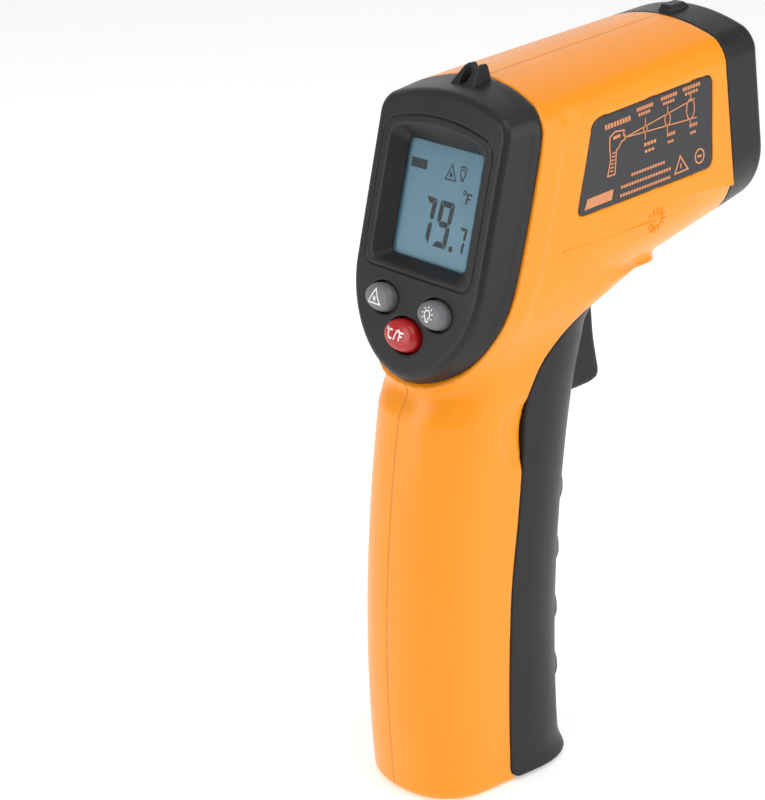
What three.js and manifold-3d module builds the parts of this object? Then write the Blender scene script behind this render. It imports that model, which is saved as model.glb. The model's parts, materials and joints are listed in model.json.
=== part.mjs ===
// A pistol-grip infrared thermometer: two moulded housing halves, a display bezel, a nose cap, a hinged
// battery door, a trigger and three keys, with the parts they hold. Millimetres, +Z up along the handle,
// +Y towards the target, +X to the user's right, origin at the middle of the handle's flat base.
import * as THREE from "three";
import { mergeVertices } from "three/addons/utils/BufferGeometryUtils.js";
import Module from "manifold-3d";

const wasm = await Module();
wasm.setup();

// ---------------------------------------------------------------- driving dimensions
const GAP = 0.3; // clearance between neighbouring pieces
const WALL = 2; // moulded wall
const BARREL_TILT = THREE.MathUtils.degToRad(7.5); // the barrel rises towards the nose
const BARREL_TOP_Z = 148; // height of the barrel's top line above the origin
const BARREL_LENGTH = 73.4; // nose front, along the barrel from the origin's plane
const BARREL_HALF_WIDTH = 20.5;
const BARREL_DRAFT = 0.04; // narrowing per mm ahead of DRAFT_START
const DRAFT_START = 20;
const BARREL_HEIGHT = 45.5; // at BARREL_HEIGHT_AT
const BARREL_HEIGHT_AT = 49;
const BARREL_TAPER = 0.14;
const SHOULDER_RADIUS = 3.8;
const TOP_CROWN = 4;
const NOSE_DEPTH = 10.2; // nose cap, along the barrel
const NOSE_WALL = 3;

const HANDLE_HALF_WIDTH = 15.1;
const HANDLE_BACK = -14.05; // deepest point of the palm side
const HANDLE_BACK_AT = 27; // its height
const HANDLE_FRONT = 27.7; // narrowest point of the finger side
const HANDLE_FRONT_AT = 29;
const THROAT_Z = 96; // above this the finger side runs out under the barrel
const THROAT_REACH = 47; // how far forward it runs
const THROAT_TOP = 108;
const HANDLE_TOP = 118; // the handle's form ends inside the barrel
const GRIP_WAVE = 1.1; // height of the finger ridges
const GRIP_PITCH = 13.7;
const GRIP_FIRST = 19.5; // height of the lowest ridge
const GRIP_COUNT = 4;

const FACE_TILT = THREE.MathUtils.degToRad(13.5); // the display face leans forward at its top
const FACE_FOOT = new THREE.Vector3(0, -9.65, 92.4); // lower tip of the display face
const FACE_HALF_WIDTH = 19.4;
const FACE_HEIGHT = 57.3;
const FACE_TIP_HEIGHT = 20.5; // the part of the face that tapers to the tip
const LCD_HALF_WIDTH = 11.3;
const LCD_BOTTOM = 23.4; // above the face's foot
const LCD_HEIGHT = 23.3;
const RECESS_DEPTH = 3.4;
const RECESS_MARGIN = 3.6; // funnel round the display opening
const BOARD_DEPTH = 10.8; // front of the main board behind the face
const BOARD_THICKNESS = 1.6;

const KEY_TRAVEL = 0.8;
const KEY_PROUD = 2.2;
const SIDE_KEY = { x: 8.3, v: 14.3, a: 4.3, b: 2.9 };
const UNIT_KEY = { x: 0, v: 8.3, a: 5.0, b: 3.3 };

const CELL_RADIUS = 5.2; // AAA cell
const CELL_LENGTH = 44.5;
const CELL_X = 5.5;
const CELL_Y = 14.8;
const CONTACT_SPACE = 3; // between a cell's end and the tray's wall
const TRAY_WALL = 1.5;

const HINGE_Y = 10.5; // battery door's hinge
const HINGE_PEG = 1.3;
const DOOR_CORNER = WALL + HINGE_PEG + 0.4; // the door's rounded corner, round the hinge
const DOOR_RISE = 0.6; // the door's underside stands this high over the base
const HINGE_Z = DOOR_CORNER + DOOR_RISE;
const LUG_RADIUS = HINGE_PEG + GAP + 1.8;
const CELL_BASE_Z = HINGE_Z + LUG_RADIUS + GAP + TRAY_WALL + CONTACT_SPACE;
const DOOR_SEAM_Y = HINGE_Y - DOOR_CORNER - 0.2; // where the door meets the shells, low on the handle
const LIP_END_Y = 8.6; // the shells' base ends here, behind the door's rounded corner
const LEG_IN = 7.2; // the tray's legs, which carry the hinge pegs
const LEG_OUT = 9.2;
const PEG_END = HANDLE_HALF_WIDTH - 2.9;
const TAB_Z = 77; // the door's locating tabs

const TRIGGER_HALF_WIDTH = 6;
const TRIGGER_PIVOT = { y: 33, z: 108.5 };
const TRIGGER_FRONT = 39.2;
const TRIGGER_REAR = 29;
const TRIGGER_TIP_Z = 81.6;
const TRIGGER_PIN = 1.4;

const TUBE_RADIUS = 8; // lens tube
const TUBE_LENGTH = 26;
const TUBE_TOP = -18.5; // its upper side, from the barrel's top line, below the front screw
const TUBE_H = TUBE_TOP - TUBE_RADIUS;
const LENS_RADIUS = 6.4;
const LASER_RADIUS = 3;
const LASER_LENGTH = 14;
const LASER_H = -7;

const LABEL_THICKNESS = 0.5;
const BOSS_RADIUS = 3.1;
const SCREW_RADIUS = 1.3;
const SCREW_HEAD = 2.2;

// ---------------------------------------------------------------- frames
const AXIS_X = new THREE.Vector3(1, 0, 0);
const BARREL_FRAME = new THREE.Matrix4()
  .makeTranslation(0, 0, BARREL_TOP_Z)
  .multiply(new THREE.Matrix4().makeRotationX(BARREL_TILT));
const FACE_UP = new THREE.Vector3(0, Math.sin(FACE_TILT), Math.cos(FACE_TILT));
const FACE_OUT = new THREE.Vector3().crossVectors(AXIS_X, FACE_UP);
const FACE_FRAME = new THREE.Matrix4().makeBasis(AXIS_X, FACE_UP, FACE_OUT).setPosition(FACE_FOOT);
// A shape drawn in (y, z) and extruded becomes a prism along +X.
const SIDE_FRAME = new THREE.Matrix4().makeBasis(
  new THREE.Vector3(0, 1, 0),
  new THREE.Vector3(0, 0, 1),
  AXIS_X,
);

// ---------------------------------------------------------------- solids
function signedVolume(geometry) {
  const p = geometry.attributes.position;
  const a = new THREE.Vector3();
  const b = new THREE.Vector3();
  const c = new THREE.Vector3();
  let volume = 0;
  for (let i = 0; i < geometry.index.count; i += 3) {
    a.fromBufferAttribute(p, geometry.index.getX(i));
    b.fromBufferAttribute(p, geometry.index.getX(i + 1));
    c.fromBufferAttribute(p, geometry.index.getX(i + 2));
    volume += a.dot(b.cross(c));
  }
  return volume;
}

// A closed three.js geometry as a manifold solid, placed by an optional matrix.
function solid(geometry, matrix) {
  const g = geometry.clone();
  g.deleteAttribute("normal");
  g.deleteAttribute("uv");
  if (matrix) g.applyMatrix4(matrix);
  const merged = mergeVertices(g, 1e-4);
  const triVerts = new Uint32Array(merged.index.array);
  if (signedVolume(merged) < 0) {
    for (let i = 0; i < triVerts.length; i += 3) {
      [triVerts[i + 1], triVerts[i + 2]] = [triVerts[i + 2], triVerts[i + 1]];
    }
  }
  const vertProperties = new Float32Array(merged.attributes.position.array);
  return new wasm.Manifold(new wasm.Mesh({ numProp: 3, vertProperties, triVerts }));
}

function box(x0, x1, y0, y1, z0, z1, matrix) {
  const g = new THREE.BoxGeometry(x1 - x0, y1 - y0, z1 - z0);
  g.translate((x0 + x1) / 2, (y0 + y1) / 2, (z0 + z1) / 2);
  return solid(g, matrix);
}

// A cylinder from one point to another.
function rod(radius, from, to, segments = 16, matrix) {
  const a = new THREE.Vector3(...from);
  const b = new THREE.Vector3(...to);
  const g = new THREE.CylinderGeometry(radius, radius, a.distanceTo(b), segments);
  const turn = new THREE.Quaternion().setFromUnitVectors(
    new THREE.Vector3(0, 1, 0),
    b.clone().sub(a).normalize(),
  );
  g.applyQuaternion(turn);
  g.translate((a.x + b.x) / 2, (a.y + b.y) / 2, (a.z + b.z) / 2);
  return solid(g, matrix);
}

function extrude(shape, from, to, matrix, curveSegments = 6) {
  const g = new THREE.ExtrudeGeometry(shape, { depth: to - from, bevelEnabled: false, curveSegments });
  g.translate(0, 0, from);
  return solid(g, matrix);
}

const prism = (shape, x0, x1, curveSegments) => extrude(shape, x0, x1, SIDE_FRAME, curveSegments);
const onFace = (shape, n0, n1, curveSegments) => extrude(shape, n0, n1, FACE_FRAME, curveSegments);

// A solid through a row of sections, each a ring of the same number of points, made from a closed cylinder.
function loft(sections, matrix) {
  const around = sections[0].length;
  const steps = sections.length - 1;
  const g = new THREE.CylinderGeometry(1, 1, 1, around, steps);
  const p = g.attributes.position;
  const middles = sections.map((ring) =>
    ring.reduce((sum, q) => sum.add(q), new THREE.Vector3()).divideScalar(around),
  );
  for (let i = 0; i < p.count; i++) {
    const station = Math.round((0.5 - p.getY(i)) * steps);
    const turn = Math.atan2(p.getX(i), p.getZ(i)) / (2 * Math.PI);
    const onAxis = Math.hypot(p.getX(i), p.getZ(i)) < 0.5;
    const j = ((Math.round(turn * around) % around) + around) % around;
    const q = onAxis ? middles[station] : sections[station][j];
    p.setXYZ(i, q.x, q.y, q.z);
  }
  return solid(g, matrix);
}

function roundedRect(x0, x1, y0, y1, r) {
  const s = new THREE.Shape();
  s.moveTo(x0 + r, y0);
  s.lineTo(x1 - r, y0);
  s.absarc(x1 - r, y0 + r, r, -Math.PI / 2, 0);
  s.lineTo(x1, y1 - r);
  s.absarc(x1 - r, y1 - r, r, 0, Math.PI / 2);
  s.lineTo(x0 + r, y1);
  s.absarc(x0 + r, y1 - r, r, Math.PI / 2, Math.PI);
  s.lineTo(x0, y0 + r);
  s.absarc(x0 + r, y0 + r, r, Math.PI, 1.5 * Math.PI);
  return s;
}

function ellipse(x, y, a, b) {
  const s = new THREE.Shape();
  s.absellipse(x, y, a, b, 0, 2 * Math.PI);
  return s;
}

const polygon = (points) => new THREE.Shape(points.map(([a, b]) => new THREE.Vector2(a, b)));
const mirrored = (s) => s.mirror([1, 0, 0]);

// ---------------------------------------------------------------- outer form
const ramp = (t) => THREE.MathUtils.clamp(t, 0, 1);
const barrelHalfWidth = (s) => BARREL_HALF_WIDTH - BARREL_DRAFT * Math.max(0, s - DRAFT_START);
const barrelBottom = (s) => -BARREL_HEIGHT + BARREL_TAPER * (s - BARREL_HEIGHT_AT);
const keelRadius = (s) => 16 - 1.6 * ramp((s - 10) / 53);

// A cross-section of the barrel at s along it, inset by d: crowned top, tight shoulders, round keel.
function barrelRing(s, d = 0) {
  const w = barrelHalfWidth(s) - d;
  const top = -d;
  const low = barrelBottom(s) + d;
  const r = Math.max(SHOULDER_RADIUS - d, 1);
  const k = Math.max(keelRadius(s) - d, 1);
  const half = [];
  for (let i = 0; i <= 2; i++) {
    const x = ((w - r) * i) / 2;
    half.push([x, top - TOP_CROWN * (x / w) ** 2]);
  }
  const shoulder = top - TOP_CROWN * ((w - r) / w) ** 2 - r;
  for (let i = 1; i <= 4; i++) {
    const a = (Math.PI / 8) * i;
    half.push([w - r + r * Math.sin(a), shoulder + r * Math.cos(a)]);
  }
  for (let i = 0; i <= 4; i++) {
    const a = (Math.PI / 8) * i;
    half.push([w - k + k * Math.cos(a), low + k - k * Math.sin(a)]);
  }
  half.push([0, low - 0.6]);
  const left = half.slice(1, -1).reverse();
  const ring = [...half, ...left.map(([x, h]) => [-x, h])];
  return ring.map(([x, h]) => new THREE.Vector3(x, s, h));
}

function barrel(from, to, d = 0) {
  const stops = [from, DRAFT_START, 42, to].filter((s, i, all) => i === 0 || s > all[i - 1]);
  return loft(stops.filter((s) => s >= from && s <= to).map((s) => barrelRing(s, d)), BARREL_FRAME);
}

function backLine(z) {
  const from = z - HANDLE_BACK_AT;
  const notch = 2.6 * THREE.MathUtils.smoothstep(z, 83, 91); // hollow under the bezel's tip
  return HANDLE_BACK + (from < 0 ? 0.0018 : 0.00143) * from ** 2 + notch;
}

// The finger side: a long hollow curve with ridges, then the throat that runs out under the barrel.
function frontLine(z, ridges = true) {
  const grip = HANDLE_FRONT + 0.00155 * (Math.min(z, THROAT_Z) - HANDLE_FRONT_AT) ** 2;
  if (z > THROAT_Z) {
    const share = ramp((z - THROAT_Z) / (THROAT_TOP - THROAT_Z)) ** 2.2;
    return THREE.MathUtils.lerp(grip, THROAT_REACH, share) - 2.2 * Math.max(0, z - THROAT_TOP);
  }
  const ridge = (z - GRIP_FIRST) / GRIP_PITCH;
  const onGrip = ridge > -0.5 && ridge < GRIP_COUNT - 0.5;
  const wave = ridges && onGrip ? GRIP_WAVE * Math.cos(Math.PI * ridge) ** 2 : 0;
  return grip + wave;
}

const handleHalfWidth = (z) => HANDLE_HALF_WIDTH + 4.6 * ramp((z - 80) / 40) ** 1.6;

// A cross-section of the handle at height z, inset by d: superelliptic back and front, straight between.
function handleRing(z, d = 0, ridges = true) {
  const w = handleHalfWidth(z) - d;
  const back = backLine(z) + d;
  const front = frontLine(z, ridges) - d;
  const backStart = backLine(z) + 14;
  const frontStart = Math.max(frontLine(z, false) - 17, backStart + 1);
  const power = 2 / (2.3 + 0.9 * ramp((z - 85) / 13));
  const right = [];
  for (let i = 0; i <= 7; i++) {
    const a = (Math.PI / 14) * i;
    right.push([w * Math.sin(a) ** power, backStart - (backStart - back) * Math.cos(a) ** power]);
  }
  for (let i = 7; i >= 0; i--) {
    const a = (Math.PI / 14) * i;
    right.push([w * Math.sin(a) ** 0.92, frontStart + (front - frontStart) * Math.cos(a) ** 0.92]);
  }
  const left = right.slice(1, -1).reverse();
  const ring = [...right, ...left.map(([x, y]) => [-x, y])];
  return ring.map(([x, y]) => new THREE.Vector3(x, y, z));
}

function handle(from, d = 0, ridges = true) {
  const heights = [from];
  for (let i = -1; i < GRIP_COUNT * 2; i++) heights.push(GRIP_FIRST + (GRIP_PITCH / 2) * i);
  heights.push(74, 82, 90, THROAT_Z, 99, 102, 105, THROAT_TOP, HANDLE_TOP);
  const rings = heights.map((z) => handleRing(Math.min(z, HANDLE_TOP), d, ridges));
  if (d > 0) rings.pop();
  return loft(rings);
}

// ---------------------------------------------------------------- seams, all drawn in the side view (y, z)
// Seam between the bezel and the shells, from the top down to the tip on the handle's back.
const BEZEL_SEAM = [
  [12, 158],
  [11.2, 148],
  [10.7, 140],
  [8.6, 129.6],
  [5.6, 117.5],
  [3.3, 110],
  [0.6, 103],
  [-3, 96],
  [-8, 90],
  [-13, 84.5],
];
// Seam between the battery door and the shells, from the hinge corner up to the throat.
const DOOR_SEAM = [
  [DOOR_SEAM_Y, 17],
  [6.8, 31.6],
  [7.5, 46],
  [9.2, 60],
  [10.4, 72],
  [11.2, 84],
  [13, 89.5],
  [16.5, 95],
  [23.4, 100.8],
  [30, 103.8],
  [38, 105.6],
  [47, 106.4],
];

const shifted = (line, dy, dz) => line.map(([y, z]) => [y + dy, z + dz]);

function behindBezelSeam(gap) {
  const line = shifted(BEZEL_SEAM, gap, 0);
  return prism(polygon([[-40, 158], ...line, [-40, 84.5]]), -30, 30).add(
    extrude(topTab(gap), 145, 158),
  );
}

// The bezel's edge is bowed forward in the middle of the top, under the rear sight.
function topTab(gap) {
  const s = new THREE.Shape();
  s.moveTo(-BARREL_HALF_WIDTH, 5);
  s.lineTo(BARREL_HALF_WIDTH, 5);
  s.lineTo(BARREL_HALF_WIDTH, 11.2 + gap);
  s.quadraticCurveTo(0, 16.2 + gap, -BARREL_HALF_WIDTH, 11.2 + gap);
  return s;
}

// Everything the battery door may fill; grow moves its edge outwards.
function doorRegion(grow) {
  const s = new THREE.Shape();
  const r = DOOR_CORNER + grow;
  s.moveTo(70, HINGE_Z - r);
  s.lineTo(HINGE_Y, HINGE_Z - r);
  s.absarc(HINGE_Y, HINGE_Z, r, -Math.PI / 2, -Math.PI, true);
  for (const [y, z] of shifted(DOOR_SEAM, -grow, grow * 0.6)) s.lineTo(y, z);
  s.lineTo(70, 106.4);
  return prism(s, -30, 30, 5);
}

// ---------------------------------------------------------------- bezel
// Outline of the display face grown by depth behind it: arched top, straight sides, tapering tip.
function shieldRing(n, d = 0) {
  const depth = Math.max(0, -n);
  const edge = 0.9 * ramp((1.6 - depth) / 1.6) ** 2;
  const w = FACE_HALF_WIDTH + 0.11 * depth - edge - d;
  const top = FACE_HEIGHT + 0.41 * depth - edge - d;
  const tip = -0.45 * depth + edge + d;
  const corner = 3;
  const arch = TOP_CROWN;
  const right = [];
  for (let i = 0; i <= 3; i++) {
    const x = ((w - corner) * i) / 3;
    right.push([x, top - arch * (x / w) ** 2]);
  }
  const cornerV = top - arch * ((w - corner) / w) ** 2 - corner;
  for (let i = 1; i <= 4; i++) {
    const a = (Math.PI / 8) * i;
    right.push([w - corner + corner * Math.sin(a), cornerV + corner * Math.cos(a)]);
  }
  for (let i = 0; i <= 8; i++) {
    const a = (Math.PI / 16) * i;
    const v = FACE_TIP_HEIGHT - (FACE_TIP_HEIGHT - tip) * Math.sin(a) ** 1.05;
    right.push([w * Math.cos(a) ** 1.05, v]);
  }
  const left = right.slice(1, -1).reverse();
  const ring = [...right, ...left.map(([x, v]) => [-x, v])];
  return ring.map(([x, v]) => new THREE.Vector3(x, v, n));
}

const shield = (depths, d) => loft(depths.map((n) => shieldRing(n, d)), FACE_FRAME);

// The display opening's funnel between two depths.
function funnel(grow) {
  const ring = (margin, n) =>
    roundedRect(
      -LCD_HALF_WIDTH - margin,
      LCD_HALF_WIDTH + margin,
      LCD_BOTTOM - margin * 0.6,
      LCD_BOTTOM + LCD_HEIGHT + margin,
      1.2 + margin * 0.3,
    )
      .getPoints(3)
      .slice(0, -1)
      .map((p) => new THREE.Vector3(p.x, p.y, n));
  return loft(
    [ring(RECESS_MARGIN + grow + 0.6, 0.5), ring(RECESS_MARGIN + grow, 0), ring(grow, -RECESS_DEPTH - grow)],
    FACE_FRAME,
  );
}

const keyHole = (key, clearance) => ellipse(key.x, key.v, key.a + clearance, key.b + clearance);
const KEYS = {
  laser_button: { ...SIDE_KEY, x: -SIDE_KEY.x },
  backlight_button: SIDE_KEY,
  unit_button: UNIT_KEY,
};
const BOARD_POSTS = [
  [-16.2, 28],
  [16.2, 28],
];

function bezel() {
  const deep = -32;
  let b = shield([0, -0.5, -1.6, deep]).subtract(shield([-WALL, deep - 1], WALL));
  const tub = funnel(1.4).intersect(onFace(roundedRect(-20, 20, 10, 60, 1), -RECESS_DEPTH - 1.2, -1));
  b = b.add(tub).subtract(funnel(0));
  const opening = roundedRect(
    -LCD_HALF_WIDTH,
    LCD_HALF_WIDTH,
    LCD_BOTTOM,
    LCD_BOTTOM + LCD_HEIGHT,
    1.2,
  );
  b = b.subtract(onFace(opening, -8, 0));
  for (const key of Object.values(KEYS)) b = b.subtract(onFace(keyHole(key, GAP), -5, 1));
  for (const [x, v] of BOARD_POSTS) {
    b = b.add(rod(1.5, [x, v, -WALL + 0.5], [x, v, -BOARD_DEPTH + GAP], 12, FACE_FRAME));
    b = b.subtract(rod(0.9, [x, v, -BOARD_DEPTH + 6], [x, v, -BOARD_DEPTH - 1], 10, FACE_FRAME));
  }
  b = b.intersect(behindBezelSeam(-GAP / 2));
  return b.add(rearSight());
}

// Two prongs with a notch between them, on top of the bezel.
function rearSight() {
  const prong = prism(polygon([[7.4, 148], [11, 152.2], [13.2, 152.4], [13.6, 148.5]]), 0.7, 2.6);
  return prong.add(mirrored(prong));
}

// ---------------------------------------------------------------- nose cap
const NOSE_SEAM = BARREL_LENGTH - NOSE_DEPTH;

function noseCap() {
  const rim = (s, inset) => barrelRing(s, inset);
  const outside = [
    rim(NOSE_SEAM + GAP / 2, 0),
    rim(BARREL_LENGTH - 1.6, 0),
    rim(BARREL_LENGTH - 0.5, 0.5),
    rim(BARREL_LENGTH, 1.6),
  ];
  const inside = [rim(NOSE_SEAM - 1, WALL), rim(BARREL_LENGTH - NOSE_WALL, WALL)];
  let n = loft(outside, BARREL_FRAME).subtract(loft(inside, BARREL_FRAME));
  const panel = roundedRect(-14, 14, -37.5, -5.5, 4);
  n = n.subtract(extrudeAlongBarrel(panel, BARREL_LENGTH - 1, BARREL_LENGTH + 1));
  n = n.subtract(alongBarrel(LENS_RADIUS + 0.8, TUBE_H, BARREL_LENGTH - 6, BARREL_LENGTH + 1, 24));
  n = n.subtract(alongBarrel(1.8, LASER_H, BARREL_LENGTH - 6, BARREL_LENGTH + 1, 12));
  const post = polygon([
    [NOSE_SEAM + 0.6, -1.4],
    [NOSE_SEAM + 2.4, 1.5],
    [BARREL_LENGTH - 4.4, 1.3],
    [BARREL_LENGTH - 2, -1.4],
  ]);
  const sight = extrude(post, -1.5, 1.5, new THREE.Matrix4().multiplyMatrices(BARREL_FRAME, SIDE_FRAME));
  return n.add(sight);
}

// A shape drawn in (x, h) across the barrel, extruded along it.
function extrudeAlongBarrel(shape, from, to) {
  const g = new THREE.ExtrudeGeometry(shape, { depth: to - from, bevelEnabled: false, curveSegments: 4 });
  g.rotateX(Math.PI / 2);
  g.translate(0, to, 0);
  return solid(g, BARREL_FRAME);
}

const alongBarrel = (radius, h, from, to, segments = 20) =>
  rod(radius, [0, from, h], [0, to, h], segments, BARREL_FRAME);

// ---------------------------------------------------------------- screws and bosses that join the shells
// A point of the middle plane given in the barrel's frame: s along it, h from its top line.
function barrelPoint(s, h) {
  const p = new THREE.Vector3(0, s, h).applyMatrix4(BARREL_FRAME);
  return { y: p.y, z: p.z };
}

const LOW_SCREWS_BELOW = 110;
const SCREWS = [
  { y: 28, z: 138 },
  barrelPoint(NOSE_SEAM - 8.2, TUBE_TOP + BOSS_RADIUS + 1.1),
  { y: 13.5, z: 70 },
  { y: 17.4, z: 93 },
];
// How far from the middle plane a boss reaches, into the wall beside it.
const bossReach = (z) =>
  z > LOW_SCREWS_BELOW ? BARREL_HALF_WIDTH - 1.5 : HANDLE_HALF_WIDTH - WALL - 0.5;
const TAB_REACH = 4; // half the width of the base's lapping tab
const SEAT = 3.6; // thickness under a screw's head, from the middle plane
const SCREW_LENGTH = 10;

function caseScrew({ y, z }) {
  return rod(SCREW_RADIUS, [SEAT + 1, y, z], [SEAT - SCREW_LENGTH, y, z], 10).add(
    rod(SCREW_HEAD, [SEAT + GAP, y, z], [SEAT + GAP + 1.6, y, z], 12),
  );
}

// ---------------------------------------------------------------- side labels
const LABEL_CORNERS = [
  [20.2, 123.6],
  [60, 127.1],
  [59.4, 146.8],
  [24.6, 142.6],
];

// The label's outline with rounded corners, grown by a clearance.
function labelOutline(grow) {
  const r = 2;
  const corners = LABEL_CORNERS.map(([y, z]) => new THREE.Vector2(y, z));
  const middle = corners.reduce((sum, c) => sum.add(c), new THREE.Vector2()).divideScalar(4);
  const grown = corners.map((c) => c.clone().add(c.clone().sub(middle).setLength(grow * 1.4)));
  const s = new THREE.Shape();
  grown.forEach((c, i) => {
    const before = grown[(i + 3) % 4].clone().sub(c).setLength(r).add(c);
    const after = grown[(i + 1) % 4].clone().sub(c).setLength(r).add(c);
    if (i === 0) s.moveTo(before.x, before.y);
    else s.lineTo(before.x, before.y);
    s.quadraticCurveTo(c.x, c.y, after.x, after.y);
  });
  return s;
}

function sideLabel() {
  const skin = barrel(-10, 70).subtract(barrel(-12, 71, LABEL_THICKNESS));
  return skin.intersect(prism(labelOutline(0), 10, 30, 3));
}

function labelRecess() {
  const skin = barrel(-10, 70, -1).subtract(barrel(-12, 71, LABEL_THICKNESS + GAP));
  return skin.intersect(prism(labelOutline(GAP), 10, 30, 3));
}

// ---------------------------------------------------------------- shells
// Shallow dish beside the door where a thumb presses to open it.
function thumbDish() {
  const g = new THREE.SphereGeometry(1, 16, 10);
  g.scale(2.2, 4.4, 6.4);
  g.translate(handleHalfWidth(80) + 1, 9.4, 80);
  return solid(g);
}

function shells() {
  const outer = barrel(-16, NOSE_SEAM - GAP / 2).add(handle(0));
  const hollow = barrel(-12, NOSE_SEAM + 1, WALL).add(handle(WALL, WALL, false));
  let body = outer.subtract(hollow);
  // A web above the door keeps the barrel's floor closed in front of the trigger.
  const slot = TRIGGER_HALF_WIDTH + 0.6;
  body = body.subtract(box(-slot, slot, 24, TRIGGER_FRONT + 1.1, 92, TRIGGER_PIVOT.z));
  body = body.subtract(behindBezelSeam(GAP / 2));
  body = body.subtract(doorRegion(GAP));
  body = body.subtract(box(-30, 30, LIP_END_Y, 70, -1, HINGE_Z));
  body = body.subtract(thumbDish()).subtract(mirrored(thumbDish()));
  body = body.subtract(labelRecess()).subtract(mirrored(labelRecess()));
  return body;
}

// One half, with its screw bosses, trimmed inside the outer form.
function halfShell(body, side) {
  const inner = GAP / 2;
  const keep = side > 0 ? box(inner, 40, -40, 90, -5, 170) : box(-40, -inner, -40, 90, -5, 170);
  let half = body.intersect(keep);
  const inside = barrel(-14, NOSE_SEAM - 1, WALL / 2).add(handle(WALL / 2, WALL / 2, false));
  for (const { y, z } of SCREWS) {
    const reach = bossReach(z);
    let boss = rod(BOSS_RADIUS + (side > 0 ? 0.6 : 0), [side * inner, y, z], [side * reach, y, z], 16);
    if (z < LOW_SCREWS_BELOW) boss = boss.add(bossWeb(y, z, side, reach));
    half = half.add(boss.intersect(inside));
  }
  for (const { y, z } of SCREWS) {
    const bore = side > 0 ? SCREW_RADIUS + GAP : SCREW_RADIUS + 0.25;
    const depth = side > 0 ? 30 : SCREW_LENGTH - SEAT + 1;
    half = half.subtract(rod(bore, [-side, y, z], [side * depth, y, z], 10));
    // The head's well opens through the skin under the label, but stops short of it under the door.
    const end = z > LOW_SCREWS_BELOW ? 30 : bossReach(z) + 0.4;
    if (side > 0) half = half.subtract(rod(SCREW_HEAD + GAP, [SEAT, y, z], [end, y, z], 12));
  }
  const { y, z } = TRIGGER_PIVOT;
  const bearing = rod(3.4, [side * (TRIGGER_HALF_WIDTH + 0.8), y, z], [side * 20, y, z]);
  half = half.add(bearing.intersect(inside));
  half = half.subtract(rod(TRIGGER_PIN + GAP, [0, y, z], [side * 14, y, z], 12));
  // A tab of the left half's base laps across the middle plane into a notch of the right half's.
  if (side < 0) return half.add(box(-4, TAB_REACH, -TAB_REACH, TAB_REACH, 0, WALL));
  const clear = TAB_REACH + GAP;
  return half.subtract(box(-1, clear, -clear, clear, -1, WALL + GAP));
}

// A low boss stands forward of the shell's edge, under the door, on a web from the wall.
function bossWeb(y, z, side, reach) {
  const thick = 1.2;
  const x0 = side > 0 ? 7 : -reach;
  const x1 = side > 0 ? reach : -7;
  const web = box(x0, x1, 2, y, z - thick, z + thick);
  const anchorX = [side * (reach - 0.6), side * (reach + 2)].sort((a, b) => a - b);
  return web.add(box(...anchorX, 2, y - 4.8, z - thick, z + thick));
}

// ---------------------------------------------------------------- battery door
function batteryDoor() {
  const outer = handle(DOOR_RISE, 0);
  const hollow = handle(DOOR_RISE + WALL, WALL, false);
  let door = outer.subtract(hollow).intersect(doorRegion(0));
  const slot = TRIGGER_HALF_WIDTH + 0.9;
  door = door.subtract(box(-slot, slot, 26, 70, TRIGGER_TIP_Z - 3.4, 120));
  door = door.subtract(box(-30, 30, -5, 70, 105, 130));
  // A hinge lug and a locating tab on the right, and the same on the left.
  const lugIn = LEG_OUT + 0.5;
  const lugOut = HANDLE_HALF_WIDTH - 1.1;
  let lug = rod(LUG_RADIUS, [lugIn, HINGE_Y, HINGE_Z], [lugOut, HINGE_Y, HINGE_Z], 20);
  lug = lug.add(box(lugIn, lugOut, HINGE_Y, 20, DOOR_RISE, HINGE_Z + 0.7));
  lug = lug.intersect(handle(DOOR_RISE, 0.8));
  const hole = rod(
    HINGE_PEG + GAP,
    [lugIn - 0.7, HINGE_Y, HINGE_Z],
    [PEG_END + 0.4, HINGE_Y, HINGE_Z],
    14,
  );
  const tabOut = HANDLE_HALF_WIDTH - WALL - 0.4;
  const tab = box(tabOut - 1.3, tabOut, 8.6, 14, TAB_Z, TAB_Z + 7).add(
    box(tabOut - 0.7, tabOut + 1.1, 11.6, 14, TAB_Z, TAB_Z + 7),
  );
  door = door.add(lug).add(mirrored(lug)).subtract(hole).subtract(mirrored(hole));
  return door.add(tab).add(mirrored(tab));
}

// ---------------------------------------------------------------- battery tray
const TRAY_BACK_Y = CELL_Y - CELL_RADIUS - 0.4;
const TRAY_LOW = CELL_BASE_Z - CONTACT_SPACE - TRAY_WALL;
const TRAY_HIGH = CELL_BASE_Z + CELL_LENGTH + CONTACT_SPACE + TRAY_WALL;
const TRAY_SIDE = 1.2;
const TRAY_HALF = CELL_X + CELL_RADIUS + 0.4 + TRAY_SIDE;

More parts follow.
